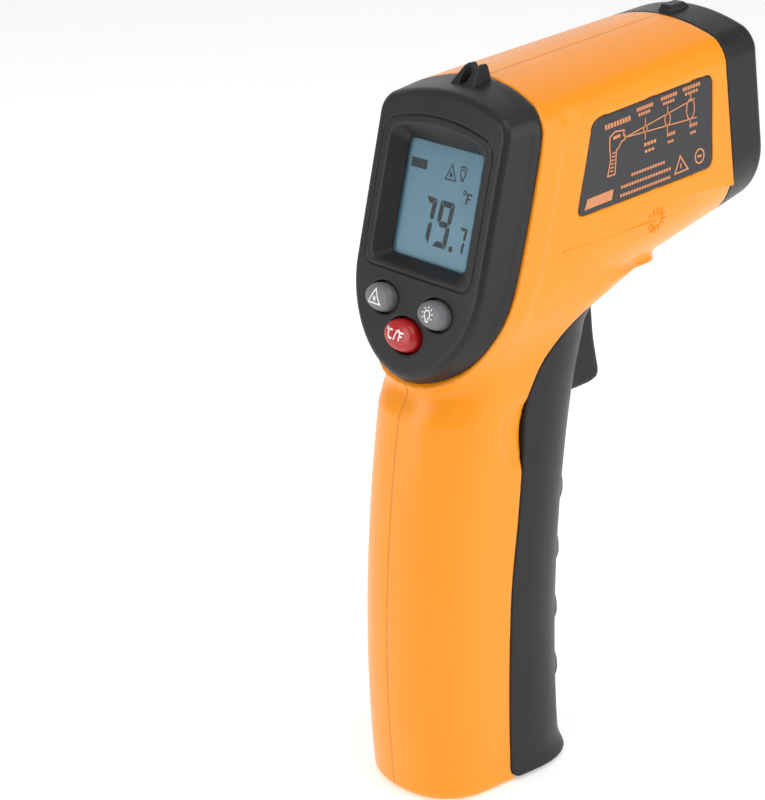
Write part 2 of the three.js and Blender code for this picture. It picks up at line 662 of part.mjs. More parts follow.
function batteryTray() {
  const front = CELL_Y + 0.5;
  const inside = TRAY_HALF - TRAY_SIDE;
  let tray = box(-TRAY_HALF, TRAY_HALF, TRAY_BACK_Y - TRAY_WALL, front, TRAY_LOW, TRAY_HIGH);
  const bay = box(
    -inside,
    inside,
    TRAY_BACK_Y,
    front + 1,
    TRAY_LOW + TRAY_WALL,
    TRAY_HIGH - TRAY_WALL,
  );
  // The sides stand lower than the ends, clear of the handle's rounding.
  const side = box(inside, TRAY_HALF + 1, CELL_Y - 2.3, front + 1, TRAY_LOW - 1, TRAY_HIGH + 1);
  tray = tray.subtract(bay).subtract(side).subtract(mirrored(side));
  // A narrow leg with a round lower end on each side carries the door's hinge peg.
  const leg = box(LEG_IN, LEG_OUT, HINGE_Y - HINGE_PEG, HINGE_Y + HINGE_PEG, HINGE_Z, TRAY_LOW + 1).add(
    rod(HINGE_PEG, [LEG_IN, HINGE_Y, HINGE_Z], [PEG_END, HINGE_Y, HINGE_Z], 14),
  );
  tray = tray.add(leg).add(mirrored(leg));
  // A low rib between the cells.
  const ribHigh = CELL_BASE_Z + CELL_LENGTH - 8;
  return tray.add(box(-0.2, 0.2, TRAY_BACK_Y - 0.5, 12, CELL_BASE_Z + 8, ribHigh));
}

function cell(side) {
  const x = side * CELL_X;
  const tip = side > 0 ? CELL_BASE_Z + CELL_LENGTH : CELL_BASE_Z;
  const nub = 1; // the can is this much shorter than the cell, at its tip's end
  const low = CELL_BASE_Z + (side > 0 ? 0 : nub);
  const can = rod(CELL_RADIUS, [x, CELL_Y, low], [x, CELL_Y, low + CELL_LENGTH - nub], 20);
  return can.add(rod(1.9, [x, CELL_Y, tip], [x, CELL_Y, tip - side * 3], 12));
}

// A conical contact spring as stacked turns of one wire.
function helix(turns, r0, r1, height, wire, segmentsPerTurn) {
  class Coil extends THREE.Curve {
    getPoint(t, target = new THREE.Vector3()) {
      const a = 2 * Math.PI * turns * t;
      const r = THREE.MathUtils.lerp(r0, r1, t);
      return target.set(r * Math.cos(a), r * Math.sin(a), height * t);
    }
  }
  const section = ellipse(0, 0, wire, wire);
  return new THREE.ExtrudeGeometry(section, {
    extrudePath: new Coil(),
    steps: Math.round(turns * segmentsPerTurn),
    curveSegments: 3,
    bevelEnabled: false,
  });
}

// ---------------------------------------------------------------- trigger
function trigger() {
  const s = new THREE.Shape();
  const { y, z } = TRIGGER_PIVOT;
  s.moveTo(TRIGGER_FRONT - 0.4, 104);
  s.lineTo(TRIGGER_FRONT - 0.5, 98);
  s.quadraticCurveTo(TRIGGER_FRONT - 0.2, 90, TRIGGER_FRONT + 2.6, 83);
  s.quadraticCurveTo(TRIGGER_FRONT + 3, 81, TRIGGER_FRONT + 1.4, TRIGGER_TIP_Z);
  s.lineTo(TRIGGER_REAR + 4, TRIGGER_TIP_Z - 0.9);
  s.quadraticCurveTo(TRIGGER_REAR, TRIGGER_TIP_Z - 0.9, TRIGGER_REAR, TRIGGER_TIP_Z + 3);
  s.lineTo(TRIGGER_REAR, z);
  s.absarc(y, z, 4, Math.PI, 0, true);
  const w = TRIGGER_HALF_WIDTH;
  let t = prism(s, -w, w, 5);
  // Round the finger side: keep what lies in a tall rounded block.
  const plan = new THREE.Shape();
  plan.moveTo(-w, 20);
  plan.lineTo(w, 20);
  plan.lineTo(w, 37);
  plan.quadraticCurveTo(w, 43, 0, 43.2);
  plan.quadraticCurveTo(-w, 43, -w, 37);
  t = t.intersect(extrude(plan, 60, 130, undefined, 6));
  t = t.subtract(box(-w + 1.6, w - 1.6, TRIGGER_REAR - 1, TRIGGER_FRONT - 3.4, 84, z - 5.2));
  const pad = box(-2.2, 2.2, TRIGGER_REAR, TRIGGER_FRONT - 3, 98.4, 100.6);
  const seat = box(-2.6, 2.6, TRIGGER_REAR + 3, TRIGGER_FRONT - 3, 87, 93);
  t = t.add(pad).add(seat);
  return t.add(rod(TRIGGER_PIN, [-w - 5, y, z], [w + 5, y, z], 12));
}

// ---------------------------------------------------------------- colours
const COLOURS = {
  orange: [0xffa726, 0.4, 0],
  black: [0x38383a, 0.55, 0],
  red: [0xd8242a, 0.4, 0],
  grey: [0x77787c, 0.5, 0],
  board: [0x1d6b3a, 0.5, 0],
  chip: [0x1b1b1d, 0.5, 0],
  steel: [0xb8bcc2, 0.3, 1],
  brass: [0xc9a24a, 0.35, 1],
  clear: [0xdfe8ee, 0.1, 0],
  lcd: [0x7e9fb2, 0.2, 0],
  white: [0xe9ebe6, 0.5, 0],
  rubber: [0x2a2a2c, 0.8, 0],
  label: [0x2b2c30, 0.6, 0],
  germanium: [0x5b5f6b, 0.15, 0.6],
  cell: [0x3f5a7a, 0.4, 0.2],
  wireRed: [0xc02020, 0.5, 0],
  wireBlack: [0x202020, 0.5, 0],
};

const root = new THREE.Group();

function put(name, body, colour) {
  const m = body.getMesh();
  const g = new THREE.BufferGeometry();
  g.setAttribute("position", new THREE.BufferAttribute(new Float32Array(m.vertProperties), 3));
  g.setIndex(new THREE.BufferAttribute(new Uint32Array(m.triVerts), 1));
  g.computeVertexNormals();
  const [color, roughness, metalness] = COLOURS[colour];
  const mesh = new THREE.Mesh(g, new THREE.MeshStandardMaterial({ color, roughness, metalness }));
  mesh.name = name;
  root.add(mesh);
}

// ---------------------------------------------------------------- housing
const body = shells();
put("left_shell", halfShell(body, -1), "orange");
put("right_shell", halfShell(body, 1), "orange");
put("bezel", bezel(), "black");
put("nose_cap", noseCap(), "black");
put("right_label", sideLabel(), "label");
put("left_label", mirrored(sideLabel()), "label");
SCREWS.forEach((at, i) => put("case_screw_" + (i + 1), caseScrew(at), "steel"));

// ---------------------------------------------------------------- display stack, from the face inwards
const STACK = RECESS_DEPTH + 1.2 + GAP; // front of the window behind the face
const stackPlate = (margin, from, thickness, radius = 1) =>
  onFace(
    roundedRect(
      -LCD_HALF_WIDTH - margin,
      LCD_HALF_WIDTH + margin,
      LCD_BOTTOM - margin,
      LCD_BOTTOM + LCD_HEIGHT + margin,
      radius,
    ),
    -from - thickness,
    -from,
    2,
  );
put("display_window", stackPlate(1.4, STACK, 1), "clear");
put("lcd_glass", stackPlate(1.4, STACK + 1 + GAP, 1.5), "lcd");
const holderFrom = STACK;
const holder = stackPlate(3, holderFrom, BOARD_DEPTH - holderFrom - GAP).subtract(
  stackPlate(1.4 + GAP, holderFrom - 1, 12),
);
put("lcd_holder", holder, "white");
put("backlight_guide", stackPlate(1.2, STACK + 3.1, 1.4), "clear");

function mainBoard() {
  const s = new THREE.Shape();
  const w = FACE_HALF_WIDTH - WALL;
  s.moveTo(-w, 50);
  s.lineTo(w, 50);
  s.lineTo(w, 25);
  s.quadraticCurveTo(w - 3.4, 12, w - 9.4, 5);
  s.lineTo(9.4 - w, 5);
  s.quadraticCurveTo(3.4 - w, 12, -w, 25);
  let board = onFace(s, -BOARD_DEPTH - BOARD_THICKNESS, -BOARD_DEPTH, 5);
  for (const [x, v] of BOARD_POSTS) {
    const from = [x, v, -BOARD_DEPTH - 3];
    board = board.subtract(rod(1.1 + GAP, from, [x, v, -BOARD_DEPTH + 1], 10, FACE_FRAME));
  }
  return board;
}
put("main_board", mainBoard(), "board");
BOARD_POSTS.forEach(([x, v], i) => {
  const back = -BOARD_DEPTH - BOARD_THICKNESS;
  const screw = rod(0.75, [x, v, back - 0.5], [x, v, back + 5], 8, FACE_FRAME).add(
    rod(1.9, [x, v, back - GAP], [x, v, back - GAP - 1.2], 12, FACE_FRAME),
  );
  put("board_screw_" + (i + 1), screw, "steel");
});
const chipBack = -BOARD_DEPTH - BOARD_THICKNESS - GAP;
put("main_chip", onFace(roundedRect(-5, 5, 28, 38, 0.5), chipBack - 1.4, chipBack, 1), "chip");

// ---------------------------------------------------------------- keys and their switches
for (const [name, key] of Object.entries(KEYS)) {
  const domed = [
    [-3.9, 0],
    [KEY_PROUD - 1, 0],
    [KEY_PROUD - 0.3, 0.5],
    [KEY_PROUD, 1.4],
  ].map(([n, inset]) =>
    ellipse(key.x, key.v, key.a - inset, key.b - inset)
      .getPoints(10)
      .slice(0, -1)
      .map((p) => new THREE.Vector3(p.x, p.y, n)),
  );
  const flange = ellipse(key.x, key.v, key.a + 0.7, key.b + 0.6);
  const stem = rod(1.4, [key.x, key.v, -3.5], [key.x, key.v, -5], 10, FACE_FRAME);
  const cap = loft(domed, FACE_FRAME).add(onFace(flange, -3.9, -2.6, 3)).add(stem);
  put(name, cap, name === "unit_button" ? "red" : "grey");
  const top = -5 - KEY_TRAVEL - 0.2;
  const square = roundedRect(key.x - 2.6, key.x + 2.6, key.v - 2.6, key.v + 2.6, 0.3);
  const base = onFace(square, -BOARD_DEPTH + GAP, top - 1, 1);
  const plunger = rod(1.2, [key.x, key.v, top - 1.5], [key.x, key.v, top], 10, FACE_FRAME);
  put(name.replace("button", "switch"), base.add(plunger), "chip");
}

// ---------------------------------------------------------------- sensor and laser in the barrel
const TUBE_FRONT = BARREL_LENGTH - NOSE_WALL - GAP;
const TUBE_REAR = TUBE_FRONT - TUBE_LENGTH;
const tubeBore = LENS_RADIUS + GAP;
const tube = alongBarrel(TUBE_RADIUS, TUBE_H, TUBE_REAR, TUBE_FRONT, 24)
  .subtract(alongBarrel(tubeBore, TUBE_H, TUBE_FRONT - 6, TUBE_FRONT + 1, 24))
  .subtract(alongBarrel(4.8, TUBE_H, TUBE_REAR - 1, TUBE_FRONT + 1, 20));
put("lens_tube", tube, "brass");
put("ir_lens", alongBarrel(LENS_RADIUS, TUBE_H, TUBE_FRONT - 5.7, TUBE_FRONT - 4, 24), "germanium");
const ring = alongBarrel(LENS_RADIUS, TUBE_H, TUBE_FRONT - 3.7, TUBE_FRONT - 1.2, 24).subtract(
  alongBarrel(LENS_RADIUS - 1.3, TUBE_H, TUBE_FRONT - 5, TUBE_FRONT, 24),
);
put("lens_ring", ring, "black");
const can = alongBarrel(4.2, TUBE_H, TUBE_REAR + 0.6, TUBE_REAR + 4.8, 18);
put("thermopile", can, "steel");
put(
  "sensor_board",
  extrudeAlongBarrel(roundedRect(-9, 9, TUBE_H - 9, TUBE_H + 8, 1), TUBE_REAR - 1.9, TUBE_REAR - GAP),
  "board",
);
const laserFront = BARREL_LENGTH - NOSE_WALL - GAP;
put("laser_module", alongBarrel(LASER_RADIUS, LASER_H, laserFront - LASER_LENGTH, laserFront, 16), "brass");

// ---------------------------------------------------------------- trigger group
put("trigger", trigger(), "black");
const springZ = 90;
const springFrom = 23.6;
const springLength = TRIGGER_REAR + 3 - GAP - springFrom;
const springFrame = new THREE.Matrix4()
  .makeTranslation(0, springFrom, springZ)
  .multiply(new THREE.Matrix4().makeRotationX(-Math.PI / 2));
put("trigger_spring", solid(helix(5, 2.1, 2.1, springLength - 0.5, 0.28, 9), springFrame), "steel");
put("trigger_board", box(-7, 7, 21.4, 23, 86, 103), "board");
const switchBody = box(-2.6, 2.6, 23.3, 26.2, 97, 102.2).add(rod(1.2, [0, 26, 99.6], [0, 27.6, 99.6], 10));
put("trigger_switch", switchBody, "chip");

// ---------------------------------------------------------------- battery group
put("battery_door", batteryDoor(), "black");
put("battery_tray", batteryTray(), "rubber");
for (const side of [-1, 1]) {
  const word = side > 0 ? "right" : "left";
  put("cell_" + word, cell(side), "cell");
  const x = side * CELL_X;
  // The flat end of each cell meets a conical spring, the tip a plate.
  const flatZ = side > 0 ? CELL_BASE_Z : CELL_BASE_Z + CELL_LENGTH;
  const turn = side > 0 ? Math.PI : 0;
  const at = new THREE.Matrix4()
    .makeTranslation(x, CELL_Y, flatZ - side * 0.6)
    .multiply(new THREE.Matrix4().makeRotationX(turn));
  put("contact_spring_" + word, solid(helix(3, 2.2, 3.8, CONTACT_SPACE - 1.2, 0.25, 10), at), "steel");
  const tipZ = side > 0 ? CELL_BASE_Z + CELL_LENGTH + GAP : CELL_BASE_Z - GAP - 0.4;
  put("contact_plate_" + word, box(x - 3.6, x + 3.6, CELL_Y - 4, CELL_Y + 3.5, tipZ, tipZ + 0.4), "steel");
}

// ---------------------------------------------------------------- leads inside the housing
const WIRE_RADIUS = 0.5;
const boardEnd = barrelPoint(TUBE_REAR - 1.9 - 0.8, TUBE_H - 2.9);
const laserEnd = barrelPoint(laserFront - LASER_LENGTH - 0.8, LASER_H);
const LEADS = {
  battery_lead_red: ["wireRed", [[3, 6.8, 57], [4.6, 4, 68], [5, 3, 82], [5.4, 5, 95], [5, 7, 104]]],
  battery_lead_black: [
    "wireBlack",
    [[-3, 6.8, 57], [-4.6, 4, 68], [-5, 3, 82], [-5.4, 5, 95], [-5, 7, 104]],
  ],
  trigger_lead: ["wireBlack", [[1.5, 20.7, 101], [1.5, 17, 103.4], [1.5, 11, 105.4], [1.5, 7.8, 107]]],
  sensor_lead: ["wireRed", [[-3, boardEnd.y, boardEnd.z], [-5, 36, 121], [-7.4, 24, 115], [-7, 9.4, 112]]],
  laser_lead: [
    "wireBlack",
    [[0, laserEnd.y, laserEnd.z], [2, 47, 146.6], [6, 34, 146], [7, 24, 144], [6, 14.9, 136]],
  ],
};

function lead(points) {
  const route = new THREE.CatmullRomCurve3(points.map((p) => new THREE.Vector3(...p)));
  const section = ellipse(0, 0, WIRE_RADIUS, WIRE_RADIUS);
  const steps = Math.max(10, Math.round(route.getLength() / (6 * WIRE_RADIUS)));
  return solid(
    new THREE.ExtrudeGeometry(section, { extrudePath: route, steps, curveSegments: 3, bevelEnabled: false }),
  );
}
for (const [name, [colour, points]] of Object.entries(LEADS)) put(name, lead(points), colour);

export default root;
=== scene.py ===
"""Visual model of a pistol-grip infrared thermometer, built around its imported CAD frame.

Shapes are written in millimetres in the CAD frame (+Z up the handle, +Y towards the target) and
turned into metres when a Blender mesh is made. The moulded pieces are described by distance fields,
negative inside, and meshed by dual contouring.
"""
import json
import math

import bpy
import numpy as np
from mathutils import Matrix, Vector


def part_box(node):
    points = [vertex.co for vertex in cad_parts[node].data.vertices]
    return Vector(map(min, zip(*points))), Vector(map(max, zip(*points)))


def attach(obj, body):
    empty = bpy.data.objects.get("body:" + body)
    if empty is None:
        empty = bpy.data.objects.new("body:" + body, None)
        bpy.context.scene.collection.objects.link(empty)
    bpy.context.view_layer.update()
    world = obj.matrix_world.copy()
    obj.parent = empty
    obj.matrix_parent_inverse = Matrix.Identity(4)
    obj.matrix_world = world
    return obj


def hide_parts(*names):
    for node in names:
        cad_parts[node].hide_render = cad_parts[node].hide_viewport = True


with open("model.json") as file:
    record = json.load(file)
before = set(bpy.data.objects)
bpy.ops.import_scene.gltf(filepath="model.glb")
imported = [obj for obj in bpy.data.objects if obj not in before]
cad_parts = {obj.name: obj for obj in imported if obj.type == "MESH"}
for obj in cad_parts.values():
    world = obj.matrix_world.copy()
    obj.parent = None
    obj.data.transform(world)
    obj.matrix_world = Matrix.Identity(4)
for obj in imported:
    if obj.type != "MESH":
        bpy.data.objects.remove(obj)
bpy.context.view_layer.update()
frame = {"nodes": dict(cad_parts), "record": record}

MM = 0.001

# ---------------------------------------------------------------- driving dimensions, mm
WALL = 2.0
SEAM = 0.15  # half of the fine gap between neighbouring mouldings
PARTING = 0.05  # half of the gap between the two shells
BARREL_TILT = math.radians(7.5)
BARREL_TOP_Z = 148.0
BARREL_LENGTH = 73.4
NOSE_SEAM = BARREL_LENGTH - 10.2
TOP_CROWN = 4.0
FACE_TILT = math.radians(13.5)
FACE_FOOT = np.array([0.0, -9.65, 92.4])
FACE_HALF_WIDTH = 19.4
FACE_HEIGHT = 57.3
FACE_TIP_HEIGHT = 20.5
LCD_HALF_WIDTH = 11.3
LCD_BOTTOM = 23.4
LCD_TOP = 46.7
RECESS_DEPTH = 3.0
HINGE = (10.5, 4.3)
DOOR_CORNER = 3.7
LIP_END_Y = 8.6
HANDLE_TOP = 118.0
THROAT_Z = 96.0
NUB_HEIGHTS = [19.5 + 13.7 * i for i in range(4)]
TRIGGER_PIVOT = (33.0, 108.5)
TRIGGER_HALF_WIDTH = 6.0
TUBE_H = -26.5
LASER_H = -7.0
KEY_PROUD = 2.2
KEYS = {
    "laser_button": (-8.3, 14.3, 4.3, 2.9),
    "backlight_button": (8.3, 14.3, 4.3, 2.9),
    "unit_button": (0.0, 8.3, 5.0, 3.3),
}
SCREWS = [(28.0, 138.0), (56.4, 141.0), (13.5, 70.0), (17.4, 93.0)]

# ---------------------------------------------------------------- frames
FACE_AXES = np.array(
    [
        [1, 0, 0],
        [0, math.sin(FACE_TILT), math.cos(FACE_TILT)],
        [0, -math.cos(FACE_TILT), math.sin(FACE_TILT)],
    ]
)
BARREL_AXES = np.array(
    [
        [1, 0, 0],
        [0, math.cos(BARREL_TILT), math.sin(BARREL_TILT)],
        [0, -math.sin(BARREL_TILT), math.cos(BARREL_TILT)],
    ]
)
BARREL_FOOT = np.array([0.0, 0.0, BARREL_TOP_Z])


def face_coords(p):
    """(across, up, out) of points on the tilted display face."""
    return (p - FACE_FOOT) @ FACE_AXES.T


def from_face(q):
    return np.asarray(q, float) @ FACE_AXES + FACE_FOOT


def barrel_coords(p):
    """(across, along, up) of points in the barrel's frame."""
    return (p - BARREL_FOOT) @ BARREL_AXES.T


def from_barrel(q):
    return np.asarray(q, float) @ BARREL_AXES + BARREL_FOOT


# ---------------------------------------------------------------- distance-field tools
def ramp(t):
    return np.clip(t, 0, 1)


def smoothstep(t):
    t = ramp(t)
    return t * t * (3 - 2 * t)


def round_max(a, b, r):
    """Intersection of two fields with its edge rounded to radius r."""
    a, b = a + r, b + r
    return np.minimum(np.maximum(a, b), 0) - r + np.hypot(np.maximum(a, 0), np.maximum(b, 0))


def round_min(a, b, r):
    return -round_max(-a, -b, r)


def superellipse(u, v, a, b, n):
    """Distance-like field of |u/a|^n + |v/b|^n = 1."""
    p = np.maximum(np.abs(u) / a, 1e-9)
    q = np.maximum(np.abs(v) / b, 1e-9)
    g = (p**n + q**n) ** (1 / n)
    return (g - 1) / np.hypot((p / g) ** (n - 1) / a, (q / g) ** (n - 1) / b)


def rounded_rect(u, v, half, low, high, r):
    """Field of a rectangle |u| < half, low < v < high, with corners of radius r."""
    q1 = np.abs(u) - half + r
    q2 = np.abs(v - (low + high) / 2) - (high - low) / 2 + r
    return np.minimum(np.maximum(q1, q2), 0) + np.hypot(np.maximum(q1, 0), np.maximum(q2, 0)) - r


def spline(points, steps=10):
    """Smooth curve through the points, as a dense list."""
    p = np.array(points, float)
    p = np.vstack([2 * p[0] - p[1], p, 2 * p[-1] - p[-2]])
    out = []
    for i in range(1, len(p) - 2):
        for t in np.arange(steps) / steps:
            a = 2 * p[i]
            b = (p[i + 1] - p[i - 1]) * t
            c = (2 * p[i - 1] - 5 * p[i] + 4 * p[i + 1] - p[i + 2]) * t * t
            d = (3 * p[i] - p[i - 1] - 3 * p[i + 1] + p[i + 2]) * t**3
            out.append((a + b + c + d) / 2)
    return out + [p[-2]]


def arc(centre, r, a0, a1, steps=10):
    angles = np.radians(np.linspace(a0, a1, steps + 1))
    return [(centre[0] + r * math.cos(a), centre[1] + r * math.sin(a)) for a in angles]


def outline_distance(outline, y, z):
    """Signed distance to a closed outline in a plane, negative inside."""
    pts = np.array(outline, float)
    best = np.full(y.shape, 1e9)
    inside = np.zeros(y.shape, bool)
    for (ay, az), (by, bz) in zip(pts, np.roll(pts, -1, 0)):
        ey, ez = by - ay, bz - az
        length = ey * ey + ez * ez
        if length < 1e-12:
            continue
        t = ramp(((y - ay) * ey + (z - az) * ez) / length)
        best = np.minimum(best, np.hypot(y - ay - t * ey, z - az - t * ez))
        if az != bz:
            crosses = (az > z) != (bz > z)
            inside ^= crosses & (y < ay + (z - az) * ey / ez)
    return np.where(inside, -best, best)


class SideOutline:
    """The signed distance to an outline drawn in the side view (y, z), kept in a table."""

    def __init__(self, outline, low=(-20, -6), high=(82, 166), step=0.25):
        self.low, self.step = np.array(low, float), step
        ys = np.arange(low[0], high[0] + step, step)
        zs = np.arange(low[1], high[1] + step, step)
        self.table = outline_distance(outline, *np.meshgrid(ys, zs, indexing="ij"))

    def __call__(self, y, z):
        fy = np.clip((y - self.low[0]) / self.step, 0, self.table.shape[0] - 1.001)
        fz = np.clip((z - self.low[1]) / self.step, 0, self.table.shape[1] - 1.001)
        i, j = fy.astype(int), fz.astype(int)
        a, b = fy - i, fz - j
        t = self.table
        low = t[i, j] * (1 - a) + t[i + 1, j] * a
        high = t[i, j + 1] * (1 - a) + t[i + 1, j + 1] * a
        return low * (1 - b) + high * b


# ---------------------------------------------------------------- outer form
def barrel_half_width(s):
    return 20.5 - 0.04 * np.maximum(0, s - 20)


def barrel(q):
    """Field of the barrel in its own frame: crowned top, tight shoulders, round keel."""
    x, s, h = np.abs(q[:, 0]), q[:, 1], q[:, 2]
    w = barrel_half_width(s)
    low = -45.5 + 0.14 * (s - 49)
    share = ramp(x / w) ** 2
    upper = h > low / 2
    r = np.where(upper, 3.8, 16 - 1.6 * ramp((s - 10) / 53))
    edge = np.where(upper, h + TOP_CROWN * share, low - 0.6 * (1 - share) - h)
    q1, q2 = x - w + r, edge + r
    return np.minimum(np.maximum(q1, q2), 0) + np.hypot(np.maximum(q1, 0), np.maximum(q2, 0)) - r


def back_line(z):
    notch = 2.6 * smoothstep((z - 83) / 8)  # hollow under the bezel's tip
    return -14.05 + np.where(z < 27, 0.0018, 0.00143) * (z - 27) ** 2 + notch


def front_line(z):
    grip = 27.7 + 0.00155 * (np.minimum(z, THROAT_Z) - 29) ** 2
    grip = grip + 0.7 * smoothstep((4 - z) / 4)  # a slight flare at the foot
    throat = grip + (47 - grip) * ramp((z - THROAT_Z) / 12) ** 2.2
    return throat - 2.2 * np.maximum(0, z - 108)


def handle_half_width(z):
    return 15.1 + 4.6 * ramp((z - 80) / 40) ** 1.6


def handle(p, nubs=False):
    """Field of the handle: a deep superelliptic palm side, a rounder finger side."""
    x, y, z = np.abs(p[:, 0]), p[:, 1], p[:, 2]
    w = handle_half_width(z)
    back_start = back_line(z) + 14
    front = front_line(z)
    front_start = np.maximum(front - 17, back_start + 1)
    if nubs:
        front = front + finger_nubs(x, z)
    back = superellipse(x, y - back_start, w, 14.0, 2.3 + 0.9 * ramp((z - 85) / 13))
    fore = superellipse(x, y - front_start, w, front - front_start, 2.17 + 0.4 * smoothstep((6 - z) / 6))
    side = x - w
    f = np.where(y < back_start, back, np.where(y > front_start, fore, side))
    return np.maximum(f, z - HANDLE_TOP)


def finger_nubs(x, z):
    """Small raised crescents down the middle of the finger side: blunt below, fading above."""
    across = np.sqrt(ramp(1 - (x / 10.5) ** 2))
    height = np.zeros_like(z)
    for middle in NUB_HEIGHTS:
        t = z - middle
        below = np.sqrt(ramp(1 - (t / 0.9) ** 2))
        above = np.sqrt(ramp(1 - (t / 3.2) ** 2))
        height = np.maximum(height, 1.6 * np.where(t < 0, below, above))
    return height * across


def body_form(p):
    """Barrel and handle flowing into each other, flat on the sides."""
    q = barrel_coords(p)
    blend = 5.5 * (1 - 0.6 * smoothstep((p[:, 2] - 104) / 10))
    blend = blend + 7 * smoothstep((p[:, 1] - 41) / 8) * smoothstep((p[:, 2] - 103) / 4)
    joined = round_min(barrel(q), handle(p), blend)
    return np.maximum(joined, np.abs(q[:, 0]) - barrel_half_width(q[:, 1]))


# ---------------------------------------------------------------- seams in the side view
BEZEL_SEAM = spline(
    [
        (13, 170),
        (12, 158),
        (11.2, 148),
        (10.7, 140),
        (8.6, 129.6),
        (5.6, 117.5),
        (3.3, 110),
        (0.6, 103),
        (-3, 96),
        (-8, 90),
        (-13, 84.5),
        (-19, 79),
    ]
)
DOOR_SEAM = spline(
    [
        (6.8, HINGE[1]),
        (6.6, 17),
        (6.8, 31.6),
        (7.5, 46),
        (9.2, 60),
        (10.4, 72),
        (11.2, 84),
        (13, 89.5),
        (16.5, 95),
        (23.4, 100.8),
        (30, 103.8),
        (38, 105.6),
        (47, 106.4),
    ]
)
bezel_side = SideOutline([*BEZEL_SEAM, (-60, 79), (-60, 170)])
door_side = SideOutline(
    [(90, 0.6), *arc(HINGE, DOOR_CORNER, -90, -175), *DOOR_SEAM[2:], (90, 106.4)]
)
LABEL_CORNERS = [(20.2, 123.6), (60, 127.1), (59.4, 146.8), (24.6, 142.6)]


def round_corners(corners, r, steps=6):
    """Polygon with each corner replaced by a curve that starts r before it."""
    c = np.array(corners, float)
    out = []
    for i in range(len(c)):
        to_last, to_next = c[i - 1] - c[i], c[(i + 1) % len(c)] - c[i]
        a = c[i] + r * to_last / np.linalg.norm(to_last)
        b = c[i] + r * to_next / np.linalg.norm(to_next)
        for t in np.linspace(0, 1, steps + 1):
            out.append((1 - t) ** 2 * a + 2 * t * (1 - t) * c[i] + t * t * b)
    return out


LABEL_OUTLINE = round_corners(LABEL_CORNERS, 2.2)
label_side = SideOutline(LABEL_OUTLINE)


def behind_bezel_seam(p):
    """Negative on the bezel's side of its seam, which bows forward across the top."""
    share = ramp(1 - (p[:, 0] / 20.5) ** 2)
    bow = 2.5 * share * smoothstep((p[:, 2] - 130) / 12)
    return bezel_side(p[:, 1] - bow, p[:, 2])


# ---------------------------------------------------------------- mouldings
def cylinder_x(p, y, z, r):
    return np.hypot(p[:, 1] - y, p[:, 2] - z) - r


def box_field(p, x0, x1, y0, y1, z0, z1):
    """Box with |x| between x0 and x1."""
    x, y, z = np.abs(p[:, 0]), p[:, 1], p[:, 2]
    sides = [x0 - x, x - x1, y0 - y, y - y1, z0 - z, z - z1]
    return np.maximum.reduce(sides)


def shell_field(side):
    """One orange housing half."""

    def field(p):
        x, y, z = side * p[:, 0], p[:, 1], p[:, 2]
        q = barrel_coords(p)
        form = body_form(p)
        seam = behind_bezel_seam(p)
        # The side wall swells a little where it meets the bezel.
        swell = 0.4 * (1 - smoothstep((seam - 4.6) / 2.2)) * smoothstep((z - 96) / 14)
        swell = swell * smoothstep((146 - z) / 4)
        outer = round_max(form - swell, -z, 2.2)
        f = np.maximum(outer, -np.maximum(form + WALL, WALL - z))
        low = np.abs(p[:, 0])
        for sy, sz in SCREWS:
            r = 3.7 if side > 0 else 3.1
            boss = np.maximum(cylinder_x(p, sy, sz, r), form + 1)
            if sz < HANDLE_TOP:
                boss = np.maximum(boss, low - 12.6)
                web = np.maximum(box_field(p, 7, 14.6, 2, sy, sz - 1.2, sz + 1.2), form + 1)
                boss = np.minimum(boss, web)
            if side > 0:
                boss = np.maximum(boss, -np.maximum(cylinder_x(p, sy, sz, 2.6), 3.6 - x))
            f = np.minimum(f, boss)
        f = np.maximum(f, SEAM - seam)
        f = np.maximum(f, SEAM - door_side(y, z))
        f = np.maximum(f, np.minimum(y - LIP_END_Y, HINGE[1] - z))
        f = np.maximum(f, q[:, 1] - NOSE_SEAM + SEAM)
        f = np.maximum(f, -box_field(p, -1, 6.6, 24, 40.3, 92, TRIGGER_PIVOT[1]))
        dish = np.sqrt(
            ((x - handle_half_width(80.0) - 1) / 2.2) ** 2
            + ((y - 9.6) / 5.6) ** 2
            + ((z - 79) / 8.0) ** 2
        )
        f = round_max(f, -(dish - 1) * 2.2, 0.4)
        recess = np.maximum(label_side(y, z) - 0.15, barrel_half_width(q[:, 1]) - 0.45 - x)
        f = np.maximum(f, -recess)
        return np.maximum(f, PARTING - x)

    return field


def shield(u, v, n):
    """Field of the bezel's outline, which grows behind the face."""
    depth = np.maximum(-n, 0)
    w = FACE_HALF_WIDTH + 0.11 * depth
    top = FACE_HEIGHT + 0.41 * depth
    tip = -0.45 * depth
    arch = TOP_CROWN
    r = 3.0
    q1 = np.abs(u) - w + r
    q2 = v - top + arch * ramp(np.abs(u) / w) ** 2 + r
    upper = np.minimum(np.maximum(q1, q2), 0) + np.hypot(np.maximum(q1, 0), np.maximum(q2, 0)) - r
    lower = superellipse(u, v - FACE_TIP_HEIGHT, w, FACE_TIP_HEIGHT - tip, 1.9)
    return np.where(v > FACE_TIP_HEIGHT, upper, lower)


def display_rect(u, v, grow, arch, r):
    top = LCD_TOP + grow - arch * (u / LCD_HALF_WIDTH) ** 2
    q1 = np.abs(u) - LCD_HALF_WIDTH - grow + r
    middle = (LCD_BOTTOM + LCD_TOP) / 2
    q2 = np.where(v > middle, v - top, LCD_BOTTOM - grow * 0.6 - v) + r
    return np.minimum(np.maximum(q1, q2), 0) + np.hypot(np.maximum(q1, 0), np.maximum(q2, 0)) - r


